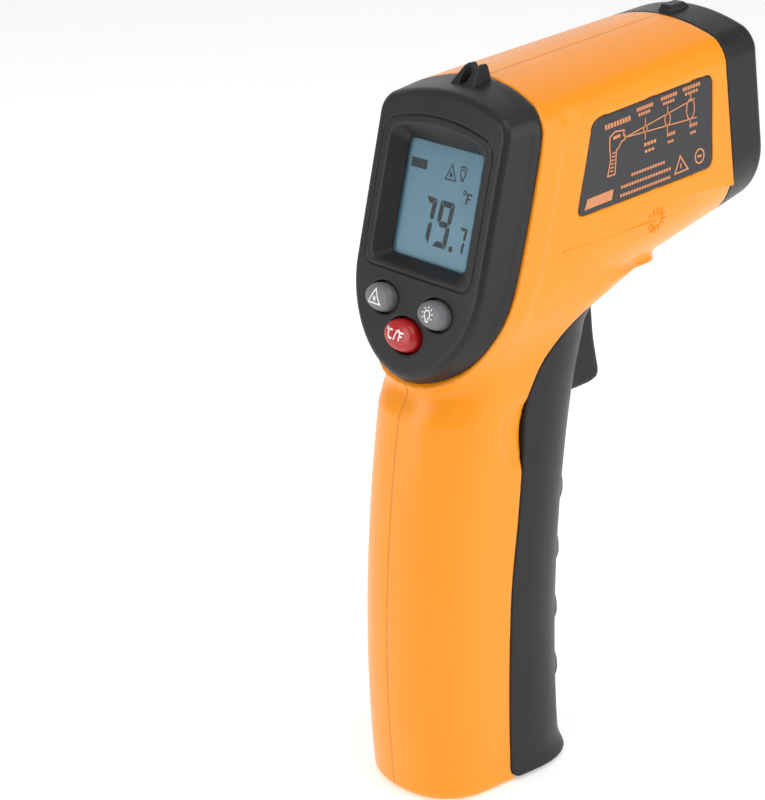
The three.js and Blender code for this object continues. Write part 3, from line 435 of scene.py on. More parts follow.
def bezel_field(q):
    """The black bezel in face coordinates: funnel round the display, groove, key holes."""
    u, v, n = q.T
    depth = -n
    p = from_face(q)
    seam = behind_bezel_seam(p)
    form = body_form(p)
    mix = smoothstep((seam + 3) / 3) * smoothstep((v - 9) / 9)
    outer = shield(u, v, n) * (1 - mix) + form * mix
    crown = n + 0.45 * (u / FACE_HALF_WIDTH) ** 2
    solid = round_max(outer, crown, 1.2)
    hollow = np.maximum(outer + WALL, WALL - depth)
    open_share = ramp(1 - depth / RECESS_DEPTH)
    funnel = display_rect(u, v, 3.7 * open_share, 1.1 * open_share, 1.2 + 1.4 * open_share)
    tub = np.maximum(display_rect(u, v, 1.2 + 3.7 * open_share, 0.5, 1.5), depth - RECESS_DEPTH - 0.1)
    f = np.maximum(solid, -np.maximum(hollow, -tub))
    f = round_max(f, -funnel * 0.75, 0.3)
    line = display_rect(u, v, 5.4, 1.25, 3.0)
    groove = np.maximum(np.abs(line) - 0.24, depth - 0.5)
    f = np.maximum(f, -groove)
    for ku, kv, a, b in KEYS.values():
        hole = superellipse(u - ku, v - kv, a + 0.45, b + 0.45, 2.0)
        f = round_max(f, -hole, 0.25)
    return np.maximum(f, seam + SEAM)


def rear_sight_field(p):
    """Two blades with a notch between them."""
    x, y, z = np.abs(p[:, 0]), p[:, 1], p[:, 2]
    blade = rear_sight_side(y, z)
    flare = x - (3.9 - 0.3 * (z - 147.6) - 0.12 * (y - 7))
    notch = 0.75 + 0.16 * (z - 147.6) - x
    return round_max(round_max(blade, flare, 0.25), notch, 0.15)


def nose_field(q):
    """The black nose cap in the barrel's frame."""
    x, s, h = q.T
    form = barrel(q)
    outer = round_max(form, s - BARREL_LENGTH, 1.7)
    f = np.maximum(outer, -np.maximum(form + WALL, s - BARREL_LENGTH + 3))
    panel = rounded_rect(x, h, 14.5, -39.5, -4.0, 4.0) + 0.35 * (BARREL_LENGTH - s)
    f = np.maximum(f, -np.maximum(panel, BARREL_LENGTH - 1.1 - s))
    lens = np.hypot(x, h - TUBE_H) - 7.6 + 0.25 * (BARREL_LENGTH - s)
    f = round_max(f, -lens, 0.3)
    laser = np.hypot(x, h - LASER_H) - 2.4 + 0.4 * (BARREL_LENGTH - 1.1 - s)
    f = round_max(f, -laser, 0.2)
    return np.maximum(f, NOSE_SEAM + SEAM - s)


def front_sight_field(q):
    """A wedge with bevelled sides on the nose cap's top."""
    x, s, h = np.abs(q[:, 0]), q[:, 1], q[:, 2]
    post = outline_distance([(63.9, -1.2), (65.4, 1.35), (69.4, 1.25), (71.6, -1.2)], s, h)
    return round_max(post, x - 1.55 - 0.75 * ramp((1.3 - h) / 2.5) ** 1.5, 0.25)


def door_field(p):
    """The black battery door with its finger nubs and the wings beside the trigger."""
    x, y, z = np.abs(p[:, 0]), p[:, 1], p[:, 2]
    form = handle(p, nubs=True)
    outer = round_max(form, 0.6 - z, 0.8)
    f = np.maximum(outer, -np.maximum(handle(p) + WALL, 0.6 + WALL - z))
    f = round_max(f, door_side(y, z) + SEAM, 0.35)
    slot = np.maximum.reduce([x - TRIGGER_HALF_WIDTH - 0.6, 26 - y, 78.2 - z])
    f = round_max(f, -slot, 0.5)
    f = np.maximum(f, z - 105)
    lug = np.maximum(cylinder_x(p, *HINGE, DOOR_CORNER - SEAM), np.abs(x - 11.85) - 2.15)
    lug = np.maximum(lug, form + 0.8)
    f = np.minimum(f, lug)
    hole = np.maximum(cylinder_x(p, *HINGE, 1.6), np.abs(x - 11) - 1.6)
    f = np.maximum(f, -hole)
    tab = np.maximum(box_field(p, 11.5, 12.7, 8.8, 14, 77.2, 83.8), form + 0.6)
    return np.minimum(f, tab)


def trigger_outline():
    y, z = TRIGGER_PIVOT
    front = 39.2
    return [
        *arc(TRIGGER_PIVOT, 4, 180, 0, 8),
        (front - 0.4, 104),
        *spline([(front - 0.5, 98), (front + 0.1, 92), (front + 1.0, 87.2), (front + 1.6, 84.4)], 5),
        *spline([(front + 1.7, 83.1), (front + 1.1, 81.9), (front - 0.1, 81.3)], 5),
        *spline([(38, 81), (34, 80.6), (31.5, 80.7), (29.6, 81.8), (29, 84)], 5),
    ]


def trigger_field(p):
    x = np.abs(p[:, 0])
    side = trigger_side(p[:, 1], p[:, 2])
    f = round_max(side, x - TRIGGER_HALF_WIDTH, 1.5)
    pocket = box_field(p, -1, 4.4, 20, 35.8, 84, 103.3)
    f = np.maximum(f, -pocket)
    pin = np.maximum(cylinder_x(p, *TRIGGER_PIVOT, 1.4), x - 11)
    return np.minimum(f, pin)


REAR_SIGHT = [(6.9, 147.4), (10.6, 152.1), (11.4, 152.55), (13.2, 152.6), (13.6, 152.0), (13.9, 147.4)]
rear_sight_side = SideOutline(REAR_SIGHT, (5, 145), (16, 155), 0.05)
trigger_side = SideOutline(trigger_outline(), (20, 74), (50, 118), 0.1)


# ---------------------------------------------------------------- meshing
def axis_steps(low, high, step, fine=()):
    """Grid lines from low to high, closer together in the ranges listed in fine."""
    lines = [low]
    while lines[-1] < high:
        here = lines[-1]
        small = [s for a, b, s in fine if a - step * 0.5 <= here <= b]
        lines.append(here + min(small, default=step))
    return np.array(lines)


def dual_contour(field, xs, ys, zs):
    """Quads on the zero level of a field: one point per crossed cell, placed on its edges and corners."""
    axes = (xs, ys, zs)
    shape = tuple(len(a) for a in axes)
    values = np.empty(shape)
    grid_y, grid_z = np.meshgrid(ys, zs, indexing="ij")
    for i, x in enumerate(xs):
        slab = np.stack([np.full(grid_y.shape, x), grid_y, grid_z], -1).reshape(-1, 3)
        values[i] = field(slab).reshape(grid_y.shape)
    inside = values < 0
    cells = tuple(n - 1 for n in shape)
    keys, normals, offsets, points, loops = [], [], [], [], []
    for a in range(3):
        b, c = (a + 1) % 3, (a + 2) % 3
        first = np.take(inside, range(shape[a] - 1), a)
        second = np.take(inside, range(1, shape[a]), a)
        at = np.argwhere(first != second)
        keep = (at[:, b] > 0) & (at[:, c] > 0) & (at[:, b] < cells[b]) & (at[:, c] < cells[c])
        at = at[keep]
        after = at.copy()
        after[:, a] += 1
        p0 = np.stack([axes[k][at[:, k]] for k in range(3)], -1)
        p1 = np.stack([axes[k][after[:, k]] for k in range(3)], -1)
        f0, f1 = values[tuple(at.T)], values[tuple(after.T)]
        leaves = f0 < 0
        for _ in range(3):
            t = ramp(f0 / (f0 - f1 + 1e-30))[:, None]
            middle = p0 + (p1 - p0) * t
            f = field(middle)
            same = (f < 0) == (f0 < 0)
            p0, f0 = np.where(same[:, None], middle, p0), np.where(same, f, f0)
            p1, f1 = np.where(same[:, None], p1, middle), np.where(same, f1, f)
        gradient = np.empty_like(middle)
        for k in range(3):
            step = np.zeros(3)
            step[k] = 0.02
            gradient[:, k] = field(middle + step) - field(middle - step)
        gradient /= np.linalg.norm(gradient, axis=1)[:, None] + 1e-12
        ring = []
        for db, dc in ((-1, -1), (0, -1), (0, 0), (-1, 0)):
            cell = at.copy()
            cell[:, b] += db
            cell[:, c] += dc
            ring.append((cell[:, 0] * cells[1] + cell[:, 1]) * cells[2] + cell[:, 2])
            keys.append(ring[-1])
            normals.append(gradient)
            points.append(middle)
        ring = np.stack(ring, -1)
        loops.append(np.where(leaves[:, None], ring, ring[:, ::-1]))
    used, place = np.unique(np.concatenate(keys), return_inverse=True)
    n, p = np.concatenate(normals), np.concatenate(points)
    count = np.bincount(place)

    def total(w):
        return np.bincount(place, weights=w)

    mean = np.stack([total(p[:, k]) for k in range(3)], -1) / count[:, None]
    reach = np.einsum("ij,ij->i", n, p - mean[place])
    matrix = np.empty((len(used), 3, 3))
    right = np.empty((len(used), 3))
    for i in range(3):
        right[:, i] = total(n[:, i] * reach)
        for j in range(i, 3):
            matrix[:, i, j] = matrix[:, j, i] = total(n[:, i] * n[:, j])
    matrix += np.eye(3) * (0.03 * count)[:, None, None]
    shift = np.linalg.solve(matrix, right[:, :, None])[:, :, 0]
    index = np.stack(np.unravel_index(used, cells), -1)
    low = np.stack([axes[k][index[:, k]] for k in range(3)], -1)
    high = np.stack([axes[k][index[:, k] + 1] for k in range(3)], -1)
    verts = np.clip(mean + shift, low, high)
    faces = np.searchsorted(used, np.concatenate(loops))
    return verts, faces


def mesh_object(name, verts, faces, material, smooth=True):
    """A Blender object from vertices in millimetres and faces, given as an array or a list."""
    mesh = bpy.data.meshes.new(name)
    verts = np.asarray(verts, float) * MM
    if isinstance(faces, np.ndarray):
        mesh.vertices.add(len(verts))
        mesh.vertices.foreach_set("co", verts.astype(np.float32).ravel())
        mesh.loops.add(faces.size)
        mesh.loops.foreach_set("vertex_index", faces.astype(np.int32).ravel())
        mesh.polygons.add(len(faces))
        starts = np.arange(len(faces), dtype=np.int32) * faces.shape[1]
        mesh.polygons.foreach_set("loop_start", starts)
        mesh.update(calc_edges=True)
    else:
        mesh.from_pydata(verts.tolist(), [], faces)
    mesh.validate()
    mesh.polygons.foreach_set("use_smooth", [smooth] * len(mesh.polygons))
    mesh.materials.append(material)
    obj = bpy.data.objects.new(name, mesh)
    bpy.context.scene.collection.objects.link(obj)
    return obj


def moulded(name, field, axes, material, place=None):
    """Meshes a field; place turns its own coordinates into the CAD frame."""
    verts, faces = dual_contour(field, *axes)
    if place:
        verts = place(verts)
    return mesh_object(name, verts, faces, material)


def finish_piece(obj, body, slot, *nodes):
    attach(obj, body)
    if nodes:
        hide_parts(*nodes)
    return obj


# ---------------------------------------------------------------- materials
def srgb(r, g, b):
    """A colour given as 0 to 255 screen values, made linear."""
    def linear(c):
        c /= 255
        return c / 12.92 if c <= 0.04045 else ((c + 0.055) / 1.055) ** 2.4

    return (linear(r), linear(g), linear(b), 1.0)


class Nodes:
    """A material's node tree, with short calls to add and link nodes."""

    def __init__(self, name):
        self.material = bpy.data.materials.new(name)
        self.material.use_nodes = True
        self.tree = self.material.node_tree
        self.shader = self.tree.nodes["Principled BSDF"]
        self.coords = self.add("ShaderNodeTexCoord").outputs["Object"]

    def add(self, kind, **values):
        node = self.tree.nodes.new(kind)
        for key, value in values.items():
            if key in node.inputs:
                node.inputs[key].default_value = value
            else:
                setattr(node, key, value)
        return node

    def link(self, a, b):
        self.tree.links.new(a, b)

    def noise(self, scale, detail=2.0, rough=0.5, stretch=None):
        node = self.add("ShaderNodeTexNoise", Scale=scale, Detail=detail, Roughness=rough)
        source = self.coords
        if stretch:
            mapping = self.add("ShaderNodeMapping")
            mapping.inputs["Scale"].default_value = stretch
            self.link(source, mapping.inputs["Vector"])
            source = mapping.outputs["Vector"]
        self.link(source, node.inputs["Vector"])
        return node.outputs["Fac"]

    def cells(self, scale, stretch=None):
        node = self.add("ShaderNodeTexVoronoi", Scale=scale)
        self.link(self.coords, node.inputs["Vector"])
        return node.outputs["Distance"]

    def map(self, value, low, high, out_low, out_high):
        node = self.add("ShaderNodeMapRange")
        for key, number in zip(("From Min", "From Max", "To Min", "To Max"), (low, high, out_low, out_high)):
            node.inputs[key].default_value = number
        self.link(value, node.inputs["Value"])
        return node.outputs["Result"]

    def mix(self, factor, a, b, blend="MIX"):
        node = self.add("ShaderNodeMix", data_type="RGBA", blend_type=blend)
        for socket, value in ((node.inputs[0], factor), (node.inputs[6], a), (node.inputs[7], b)):
            if isinstance(value, (tuple, float, int)):
                socket.default_value = value
            else:
                self.link(value, socket)
        return node.outputs[2]

    def math(self, operation, a, b):
        node = self.add("ShaderNodeMath", operation=operation)
        for socket, value in zip(node.inputs, (a, b)):
            if isinstance(value, (float, int)):
                socket.default_value = value
            else:
                self.link(value, socket)
        return node.outputs[0]

    def bump(self, *layers):
        """Layers of (height, distance in metres, strength), the first at the bottom."""
        normal = None
        for height, distance, strength in layers:
            node = self.add("ShaderNodeBump", Strength=strength, Distance=distance)
            self.link(height, node.inputs["Height"])
            if normal:
                self.link(normal, node.inputs["Normal"])
            normal = node.outputs["Normal"]
        self.link(normal, self.shader.inputs["Normal"])

    def set(self, **values):
        for key, value in values.items():
            socket = self.shader.inputs[key.replace("_", " ")]
            if isinstance(value, (tuple, float, int)):
                socket.default_value = value
            else:
                self.link(value, socket)


def edge_share(n, low=0.53, high=0.6):
    """How much of a point lies on an outward edge."""
    geometry = n.add("ShaderNodeNewGeometry")
    return n.map(geometry.outputs["Pointiness"], low, high, 0.0, 1.0)


def moulded_plastic(name, colour, edge_wear_and_highlight, rough, grain, depth, tint=0.04):
    """Injection-moulded plastic: mottled tone, spark-eroded grain, and convex edges lightened partly by wear and
    partly by a painted highlight.
    """
    n = Nodes(name)
    dark = tuple(c * (1 - tint) for c in colour[:3]) + (1.0,)
    light = tuple(min(1.0, c * (1 + tint)) for c in colour[:3]) + (1.0,)
    base = n.mix(n.noise(90, 3), dark, light)
    # Convex edges are mixed towards the lighter colour: partly wear, partly a painted highlight.
    base = n.mix(n.math("MULTIPLY", edge_share(n), 0.35), base, edge_wear_and_highlight)
    n.set(Base_Color=base)
    blotch = n.noise(35, 3, 0.6)
    scuff = n.noise(420, 4, 0.7, (1, 0.35, 1))
    n.set(Roughness=n.math("ADD", n.map(blotch, 0.3, 0.7, rough - 0.035, rough + 0.035), n.map(scuff, 0.35, 0.7, -0.02, 0.03)))
    n.bump((n.cells(grain), depth, 0.5), (n.noise(grain * 0.45, 3, 0.6), depth, 0.35), (n.noise(60, 2), 0.00012, 0.1))
    return n


def finished(n, **values):
    n.set(**values)
    return n.material


ORANGE_COLOUR = srgb(250, 150, 6)
orange = finished(
    moulded_plastic("orange_shell_plastic", ORANGE_COLOUR, srgb(252, 166, 50), 0.33, 2400, 0.000012, 0.03),
    Specular_IOR_Level=0.34,
    Coat_Weight=0.22,
    Coat_Roughness=0.24,
    Subsurface_Weight=0.0,
)
black = finished(
    moulded_plastic("black_trim_plastic", srgb(35, 35, 37), srgb(66, 66, 68), 0.38, 3200, 0.00002, 0.1),
    Specular_IOR_Level=0.28,
)
door_black = finished(
    moulded_plastic("door_grip_plastic", srgb(33, 33, 36), srgb(60, 60, 63), 0.42, 2600, 0.00003, 0.1),
    Specular_IOR_Level=0.26,
)
red_key = finished(
    moulded_plastic("red_key_rubber", srgb(176, 8, 12), srgb(196, 38, 42), 0.3, 3600, 0.00001, 0.05),
    Coat_Weight=0.15,
    Coat_Roughness=0.25,
)
grey_key = finished(
    moulded_plastic("grey_key_rubber", srgb(108, 109, 112), srgb(140, 141, 144), 0.4, 3600, 0.000015, 0.06)
)
white_print = finished(
    moulded_plastic("white_print_ink", srgb(236, 236, 232), srgb(240, 240, 236), 0.5, 5200, 0.00001, 0.03)
)
orange_print = finished(
    moulded_plastic("orange_print_ink", srgb(214, 138, 88), srgb(216, 142, 94), 0.5, 5200, 0.00001, 0.08)
)
label_film = finished(
    moulded_plastic("label_film", srgb(38, 37, 41), srgb(62, 62, 66), 0.36, 4200, 0.000012, 0.06)
)
white_plastic = finished(
    moulded_plastic("white_frame_plastic", srgb(226, 226, 220), srgb(236, 236, 232), 0.5, 3000, 0.00002, 0.03)
)
chip_black = finished(
    moulded_plastic("chip_epoxy", srgb(34, 34, 36), srgb(60, 60, 62), 0.5, 4000, 0.00001, 0.1)
)
tray_plastic = finished(
    moulded_plastic("battery_tray_plastic", srgb(44, 44, 46), srgb(74, 74, 76), 0.5, 2400, 0.00003, 0.08)
)


def metal(name, colour, rough, stretch, plating=0.05):
    """Plated or drawn metal with fine lines and a little tarnish."""
    n = Nodes(name)
    dull = tuple(c * 0.72 for c in colour[:3]) + (1.0,)
    tarnish = n.map(n.noise(260, 4, 0.65), 0.45, 0.75, 0.0, 1.0)
    n.set(Base_Color=n.mix(tarnish, colour, dull), Metallic=1.0)
    lines = n.noise(900, 3, 0.6, stretch)
    n.set(Roughness=n.map(lines, 0.3, 0.7, rough - plating, rough + plating))
    n.bump((lines, 0.000012, 0.35))
    return n.material


steel = metal("plated_steel", srgb(190, 192, 196), 0.3, (1, 1, 6))
brass = metal("turned_brass", srgb(200, 164, 92), 0.32, (1, 8, 1))
germanium = metal("lens_germanium", srgb(112, 116, 130), 0.12, (1, 1, 1), 0.02)


def circuit_board(name):
    """Green solder mask over faint copper tracks."""
    n = Nodes(name)
    tracks = n.add("ShaderNodeTexBrick", Scale=300.0)
    n.link(n.coords, tracks.inputs["Vector"])
    tracks.inputs["Color1"].default_value = srgb(22, 92, 52)
    tracks.inputs["Color2"].default_value = srgb(30, 108, 60)
    tracks.inputs["Mortar"].default_value = srgb(48, 132, 70)
    n.set(Base_Color=n.mix(n.map(n.noise(120, 3), 0.35, 0.65, 0.0, 0.4), tracks.outputs["Color"], srgb(18, 78, 44)))
    n.set(Roughness=n.map(n.noise(500, 3), 0.3, 0.7, 0.25, 0.4))
    n.bump((tracks.outputs["Fac"], 0.00003, 0.4))
    return n.material


def wire(name, colour):
    """Soft insulation with a slight sheen along the lead."""
    n = Nodes(name)
    dark = tuple(c * 0.8 for c in colour[:3]) + (1.0,)
    n.set(Base_Color=n.mix(n.noise(500, 3), dark, colour))
    n.set(Roughness=n.map(n.noise(900, 3), 0.3, 0.7, 0.35, 0.5))
    n.bump((n.noise(1500, 3), 0.00002, 0.3))
    return n.material


board_green = circuit_board("solder_mask")
wire_red = wire("red_insulation", srgb(190, 32, 34))
wire_black = wire("black_insulation", srgb(34, 34, 36))


def display_glass():
    """The liquid crystal cell: blue-grey with a faint grain, painted lighter towards the bottom as if lit from below,
    and given a faint painted glow.
    """
    n = Nodes("display_liquid_crystal")
    split = n.add("ShaderNodeSeparateXYZ")
    n.link(n.coords, split.inputs[0])
    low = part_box("lcd_glass")[0].z
    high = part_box("lcd_glass")[1].z
    # Painted light: the blue-grey is made lighter towards the bottom of the display.
    up = n.map(split.outputs["Z"], low, high, 0.0, 1.0)
    cloud = n.map(n.noise(120, 2), 0.3, 0.7, -0.12, 0.12)
    tone = n.mix(n.math("ADD", up, cloud), srgb(100, 138, 154), srgb(78, 114, 132))
    grain = n.map(n.noise(5200, 2), 0.35, 0.65, 0.0, 0.1)
    n.set(Base_Color=n.mix(grain, tone, srgb(68, 96, 112)))
    # Painted glow: the display is no lamp; this faint emission lifts the shade in its recess.
    n.set(Emission_Color=tone, Emission_Strength=0.1)
    n.set(Roughness=n.map(n.noise(300, 2), 0.3, 0.7, 0.3, 0.38))
    n.bump((n.noise(2600, 2), 0.000006, 0.3))
    return n.material


def clear_window():
    """Thin hard-coated window: mostly open, with a soft reflection and a little dust."""
    n = Nodes("clear_window_plastic")
    dust = n.map(n.noise(700, 4, 0.7), 0.55, 0.85, 0.0, 1.0)
    n.set(Base_Color=n.mix(dust, srgb(205, 216, 222), srgb(226, 230, 232)))
    n.set(Roughness=n.map(n.noise(180, 3), 0.3, 0.7, 0.04, 0.08))
    n.set(Alpha=n.map(dust, 0.0, 1.0, 0.015, 0.04))
    n.bump((n.noise(90, 2), 0.00004, 0.12))
    return n.material


def cell_can_material(name, comparison, height):
    """A dry cell's printed sleeve: dark at its flat end, pale towards its tip, a little metallic all over."""
    n = Nodes(name)
    split = n.add("ShaderNodeSeparateXYZ")
    n.link(n.coords, split.inputs[0])
    band = n.math(comparison, split.outputs["Z"], height)
    tone = n.mix(band, srgb(44, 66, 98), srgb(196, 200, 206))
    n.set(Base_Color=n.mix(n.map(n.noise(200, 3), 0.4, 0.7, 0.0, 0.12), tone, srgb(26, 34, 50)))
    n.set(Metallic=0.35, Roughness=n.map(n.noise(400, 3), 0.3, 0.7, 0.22, 0.34))
    n.bump((n.noise(300, 3), 0.00003, 0.2))
    return n.material


lcd_ink = finished(
    moulded_plastic("display_dark_segments", srgb(16, 22, 30), srgb(22, 28, 36), 0.35, 5200, 0.000006, 0.1)
)
lcd_cell = display_glass()
window_clear = clear_window()
cell_sleeve = cell_can_material("right_cell_sleeve", "GREATER_THAN", 0.042)
left_cell_sleeve = cell_can_material("left_cell_sleeve", "LESS_THAN", 0.026)

CAD_MATERIALS = {
    "orange_shell": orange,
    "black_trim": black,
    "side_label": label_film,
    "clear_plastic": window_clear,
    "lcd": lcd_cell,
    "white_plastic": white_plastic,
    "circuit_board": board_green,
    "chip_black": chip_black,
    "grey_key": grey_key,
    "red_key": red_key,
    "brass": brass,
    "germanium": germanium,
    "steel": steel,
    "tray_plastic": tray_plastic,
    "cell_can": cell_sleeve,
    "wire_red": wire_red,
    "wire_black": wire_black,
}
NODE_SLOTS = {part["node"]: part["material_slot"] for part in frame["record"]["subparts"]}
for node_name, node_object in frame["nodes"].items():
    node_object.data.materials.clear()
    node_object.data.materials.append(CAD_MATERIALS[NODE_SLOTS[node_name]])

# ---------------------------------------------------------------- housing and trim
SHELL_AXES_YZ = (axis_steps(-15.3, 69.8, 0.55), axis_steps(-1.2, 159, 0.55))
right = moulded(
    "right_shell_moulding", shell_field(1), (axis_steps(-0.55, 21.6, 0.55), *SHELL_AXES_YZ), orange
)
finish_piece(right, "housing", "orange_shell", "right_shell")
left = moulded(
    "left_shell_moulding",
    shell_field(-1),
    (axis_steps(-21.6, 0.55, 0.55), *SHELL_AXES_YZ),
    orange,
)
finish_piece(left, "housing", "orange_shell", "left_shell")


def joined(name, parts, material):
    """One object from several (vertices, quads) lists."""
    verts, faces, start = [], [], 0
    for v, f in parts:
        verts.append(v)
        faces.append(f + start)
        start += len(v)
    return mesh_object(name, np.vstack(verts), np.vstack(faces), material)


FACE_FINE = [(-17.4, -16.1, 0.16), (16.1, 17.4, 0.16)]
bezel_verts, bezel_faces = dual_contour(
    bezel_field,
    axis_steps(-21.4, 21.4, 0.42, FACE_FINE),
    axis_steps(-3, 63, 0.42, [(19.4, 21, 0.16), (50.0, 52.8, 0.16)]),
    axis_steps(-11, 0.9, 0.42, [(-0.8, 0.3, 0.16)]),
)
sight = dual_contour(
    rear_sight_field, axis_steps(-4.4, 4.4, 0.16), axis_steps(6, 15, 0.16), axis_steps(146.5, 154, 0.16)
)
bezel = joined("bezel_moulding", [(from_face(bezel_verts), bezel_faces), sight], black)
finish_piece(bezel, "housing", "black_trim", "bezel")

nose_verts, nose_faces = dual_contour(
    nose_field, axis_steps(-21, 21, 0.4), axis_steps(62.4, 74.2, 0.4), axis_steps(-47, 1.4, 0.4)
)
post_verts, post_faces = dual_contour(
    front_sight_field, axis_steps(-3, 3, 0.2), axis_steps(63, 73, 0.2), axis_steps(-2, 2.8, 0.2)
)
nose = joined(
    "nose_cap_moulding",
    [(from_barrel(nose_verts), nose_faces), (from_barrel(post_verts), post_faces)],
    black,
)
finish_piece(nose, "housing", "black_trim", "nose_cap")

door = moulded(
    "battery_door_moulding",
    door_field,
    (axis_steps(-17, 17, 0.42), axis_steps(5, 50, 0.42), axis_steps(-0.2, 106.5, 0.42)),
    door_black,
)
finish_piece(door, "battery_door", "black_trim", "battery_door")

trigger = moulded(
    "trigger_moulding",
    trigger_field,
    (axis_steps(-12, 12, 0.33), axis_steps(27, 44, 0.33), axis_steps(78, 114, 0.33)),
    door_black,
)
finish_piece(trigger, "trigger", "black_trim", "trigger")


# ---------------------------------------------------------------- dry cells
def cell_field(low, high, tip):
    """A cell between two corners: rolled rims, a raised terminal at one end, a dished one at the other."""
    middle = (low + high) / 2
    radius = (high[0] - low[0]) / 2
    can_high = high[2] - (1.0 if tip > 0 else 0.0)
    can_low = low[2] + (1.0 if tip < 0 else 0.0)

    def field(p):
        r = np.hypot(p[:, 0] - middle[0], p[:, 1] - middle[1])
        z = p[:, 2]
        half = (can_high - can_low) / 2
        ends = np.abs(z - (can_high + can_low) / 2) - half
        can = round_max(r - radius, ends, 0.6)
        rim = np.abs(ends + 1.5) - 0.25
        can = np.maximum(can, -np.maximum(rim, radius - 0.12 - r))
        dish = np.maximum(np.abs(r - radius + 1.7) - 0.5, -0.35 - ends)
        can = round_max(can, -dish, 0.15)
        base = can_high - 1 if tip > 0 else can_low + 1
        cap = np.maximum(tip * (z - base) - 2.0, tip * (base - z))
        return np.minimum(can, round_max(r - 1.9, cap, 0.35))

    return field


for node, tip, sleeve in (("cell_right", 1, cell_sleeve), ("cell_left", -1, left_cell_sleeve)):
    low, high = (np.array(corner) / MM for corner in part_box(node))
    axes = [axis_steps(a - 0.6, b + 0.6, 0.3) for a, b in zip(low, high)]
    cell_piece = moulded(node + "_can", cell_field(low, high, tip), axes, sleeve)
    finish_piece(cell_piece, "housing", "cell_can", node)

# ---------------------------------------------------------------- printed and raised marks
def stroke(points, width, closed=False):
    """Convex quads that follow a line of points with a given width, with mitred joints."""
    p = np.array(points, float)
    if closed:
        p = np.vstack([p, p[:1]])
    steps = np.diff(p, axis=0)
    steps /= np.linalg.norm(steps, axis=1)[:, None]
    sides = np.stack([-steps[:, 1], steps[:, 0]], -1)
    quads = []
    for i in range(len(steps)):
        def joint(j, k):
            if closed:
                k %= len(steps)
                j %= len(steps)
            if not 0 <= j < len(steps) or not 0 <= k < len(steps):
                return sides[i]
            m = sides[j] + sides[k]
            return m / max(0.5, float(m @ sides[i]))

        a = joint(i - 1, i) * width / 2
        b = joint(i, i + 1) * width / 2
        quads.append([p[i] - a, p[i + 1] - b, p[i + 1] + b, p[i] + a])
    return quads


def rect(x0, x1, y0, y1, slant=0.0):
    return [(x0 + slant * y0, y0), (x1 + slant * y0, y0), (x1 + slant * y1, y1), (x0 + slant * y1, y1)]


def ellipse_points(x, y, a, b, steps=24, start=0.0, stop=360.0):
    turns = np.radians(np.linspace(start, stop, steps, endpoint=stop - start < 360))
    return [(x + a * math.cos(t), y + b * math.sin(t)) for t in turns]


def dense(points, step):
    """The same line of points with extra ones, so that no stretch is longer than step."""
    out = [np.array(points[0], float)]
    for stop in np.array(points[1:], float):
        count = max(1, math.ceil(np.linalg.norm(stop - out[-1]) / step))
        out += [out[-1] + (stop - out[-1]) * k / count for k in range(1, count)] + [stop]
    return out


def marks(name, polygons, lift, material, top, bottom, flip=False):
    """Closed prisms on a surface; lift maps points (a, b) and a height to the CAD frame."""
    rings = []
    for polygon in polygons:
        q = np.array(polygon, float)
        area = np.sum(q[:, 0] * np.roll(q[:, 1], -1) - q[:, 1] * np.roll(q[:, 0], -1))
        rings.append(q[::-1] if (area < 0) != flip else q)
    flat = np.vstack(rings)
    total, start, faces = len(flat), 0, []
    for q in rings:
        n = len(q)
        faces.append([start + i for i in range(n)])
        faces.append([total + start + i for i in reversed(range(n))])
        for i in range(n):
            j = (i + 1) % n
            faces.append([start + i, total + start + i, total + start + j, start + j])
        start += n
    return mesh_object(name, np.vstack([lift(flat, top), lift(flat, bottom)]), faces, material, smooth=False)


def zero_height(field_at, count, low, high):
    """For each of count points, the height between low and high where a field turns positive."""
    low, high = np.full(count, low), np.full(count, high)
    for _ in range(24):
        middle = (low + high) / 2
        inside = field_at(middle) < 0
        low, high = np.where(inside, middle, low), np.where(inside, high, middle)
    return low


def on_face(depth):
    """Places marks on a plane at a depth behind the display face."""
    return lambda q, height: from_face(np.column_stack([q, np.full(len(q), height - depth)]))


# ---------------------------------------------------------------- display
WINDOW_DEPTH = RECESS_DEPTH + 0.15
LCD_DEPTH = RECESS_DEPTH + 0.7


def plate(name, half, low, high, r, front, back, material, crown=0.0):
    """A rounded plate behind the face, with softened edges."""

    def field(q):
        rect_field = rounded_rect(q[:, 0], q[:, 1], half, low, high, r)
        thick = np.abs(-q[:, 2] - (front + back) / 2) - (back - front) / 2
        return round_max(rect_field, thick, 0.15)

    axes = (
        axis_steps(-half - 0.5, half + 0.5, 0.5),
        axis_steps(low - 0.5, high + 0.5, 0.5),
        axis_steps(-back - 0.3, -front + 0.3, 0.2),
    )
    return moulded(name, field, axes, material, from_face)


lcd = plate(
    "display_cell", LCD_HALF_WIDTH + 1.3, LCD_BOTTOM - 1.3, LCD_TOP + 1.3, 1, LCD_DEPTH, LCD_DEPTH + 1.4, lcd_cell
)
finish_piece(lcd, "housing", "lcd", "lcd_glass")
window = plate(
    "display_window_pane",
    LCD_HALF_WIDTH + 1.3,
    LCD_BOTTOM - 1.3,
    LCD_TOP + 1.3,
    1,
    WINDOW_DEPTH,
    WINDOW_DEPTH + 0.4,
    window_clear,
)
finish_piece(window, "housing", "clear_plastic", "display_window")

# Which of the seven strokes (top, upper left, upper right, middle, lower left, lower right, bottom) are lit.
DIGITS = {"7": "tur", "9": "tulmrb"}
SEGMENT_KEYS = {
    "7": ("top", "upper_right", "lower_right"),
    "9": ("top", "upper_left", "upper_right", "middle", "lower_right", "bottom"),
}


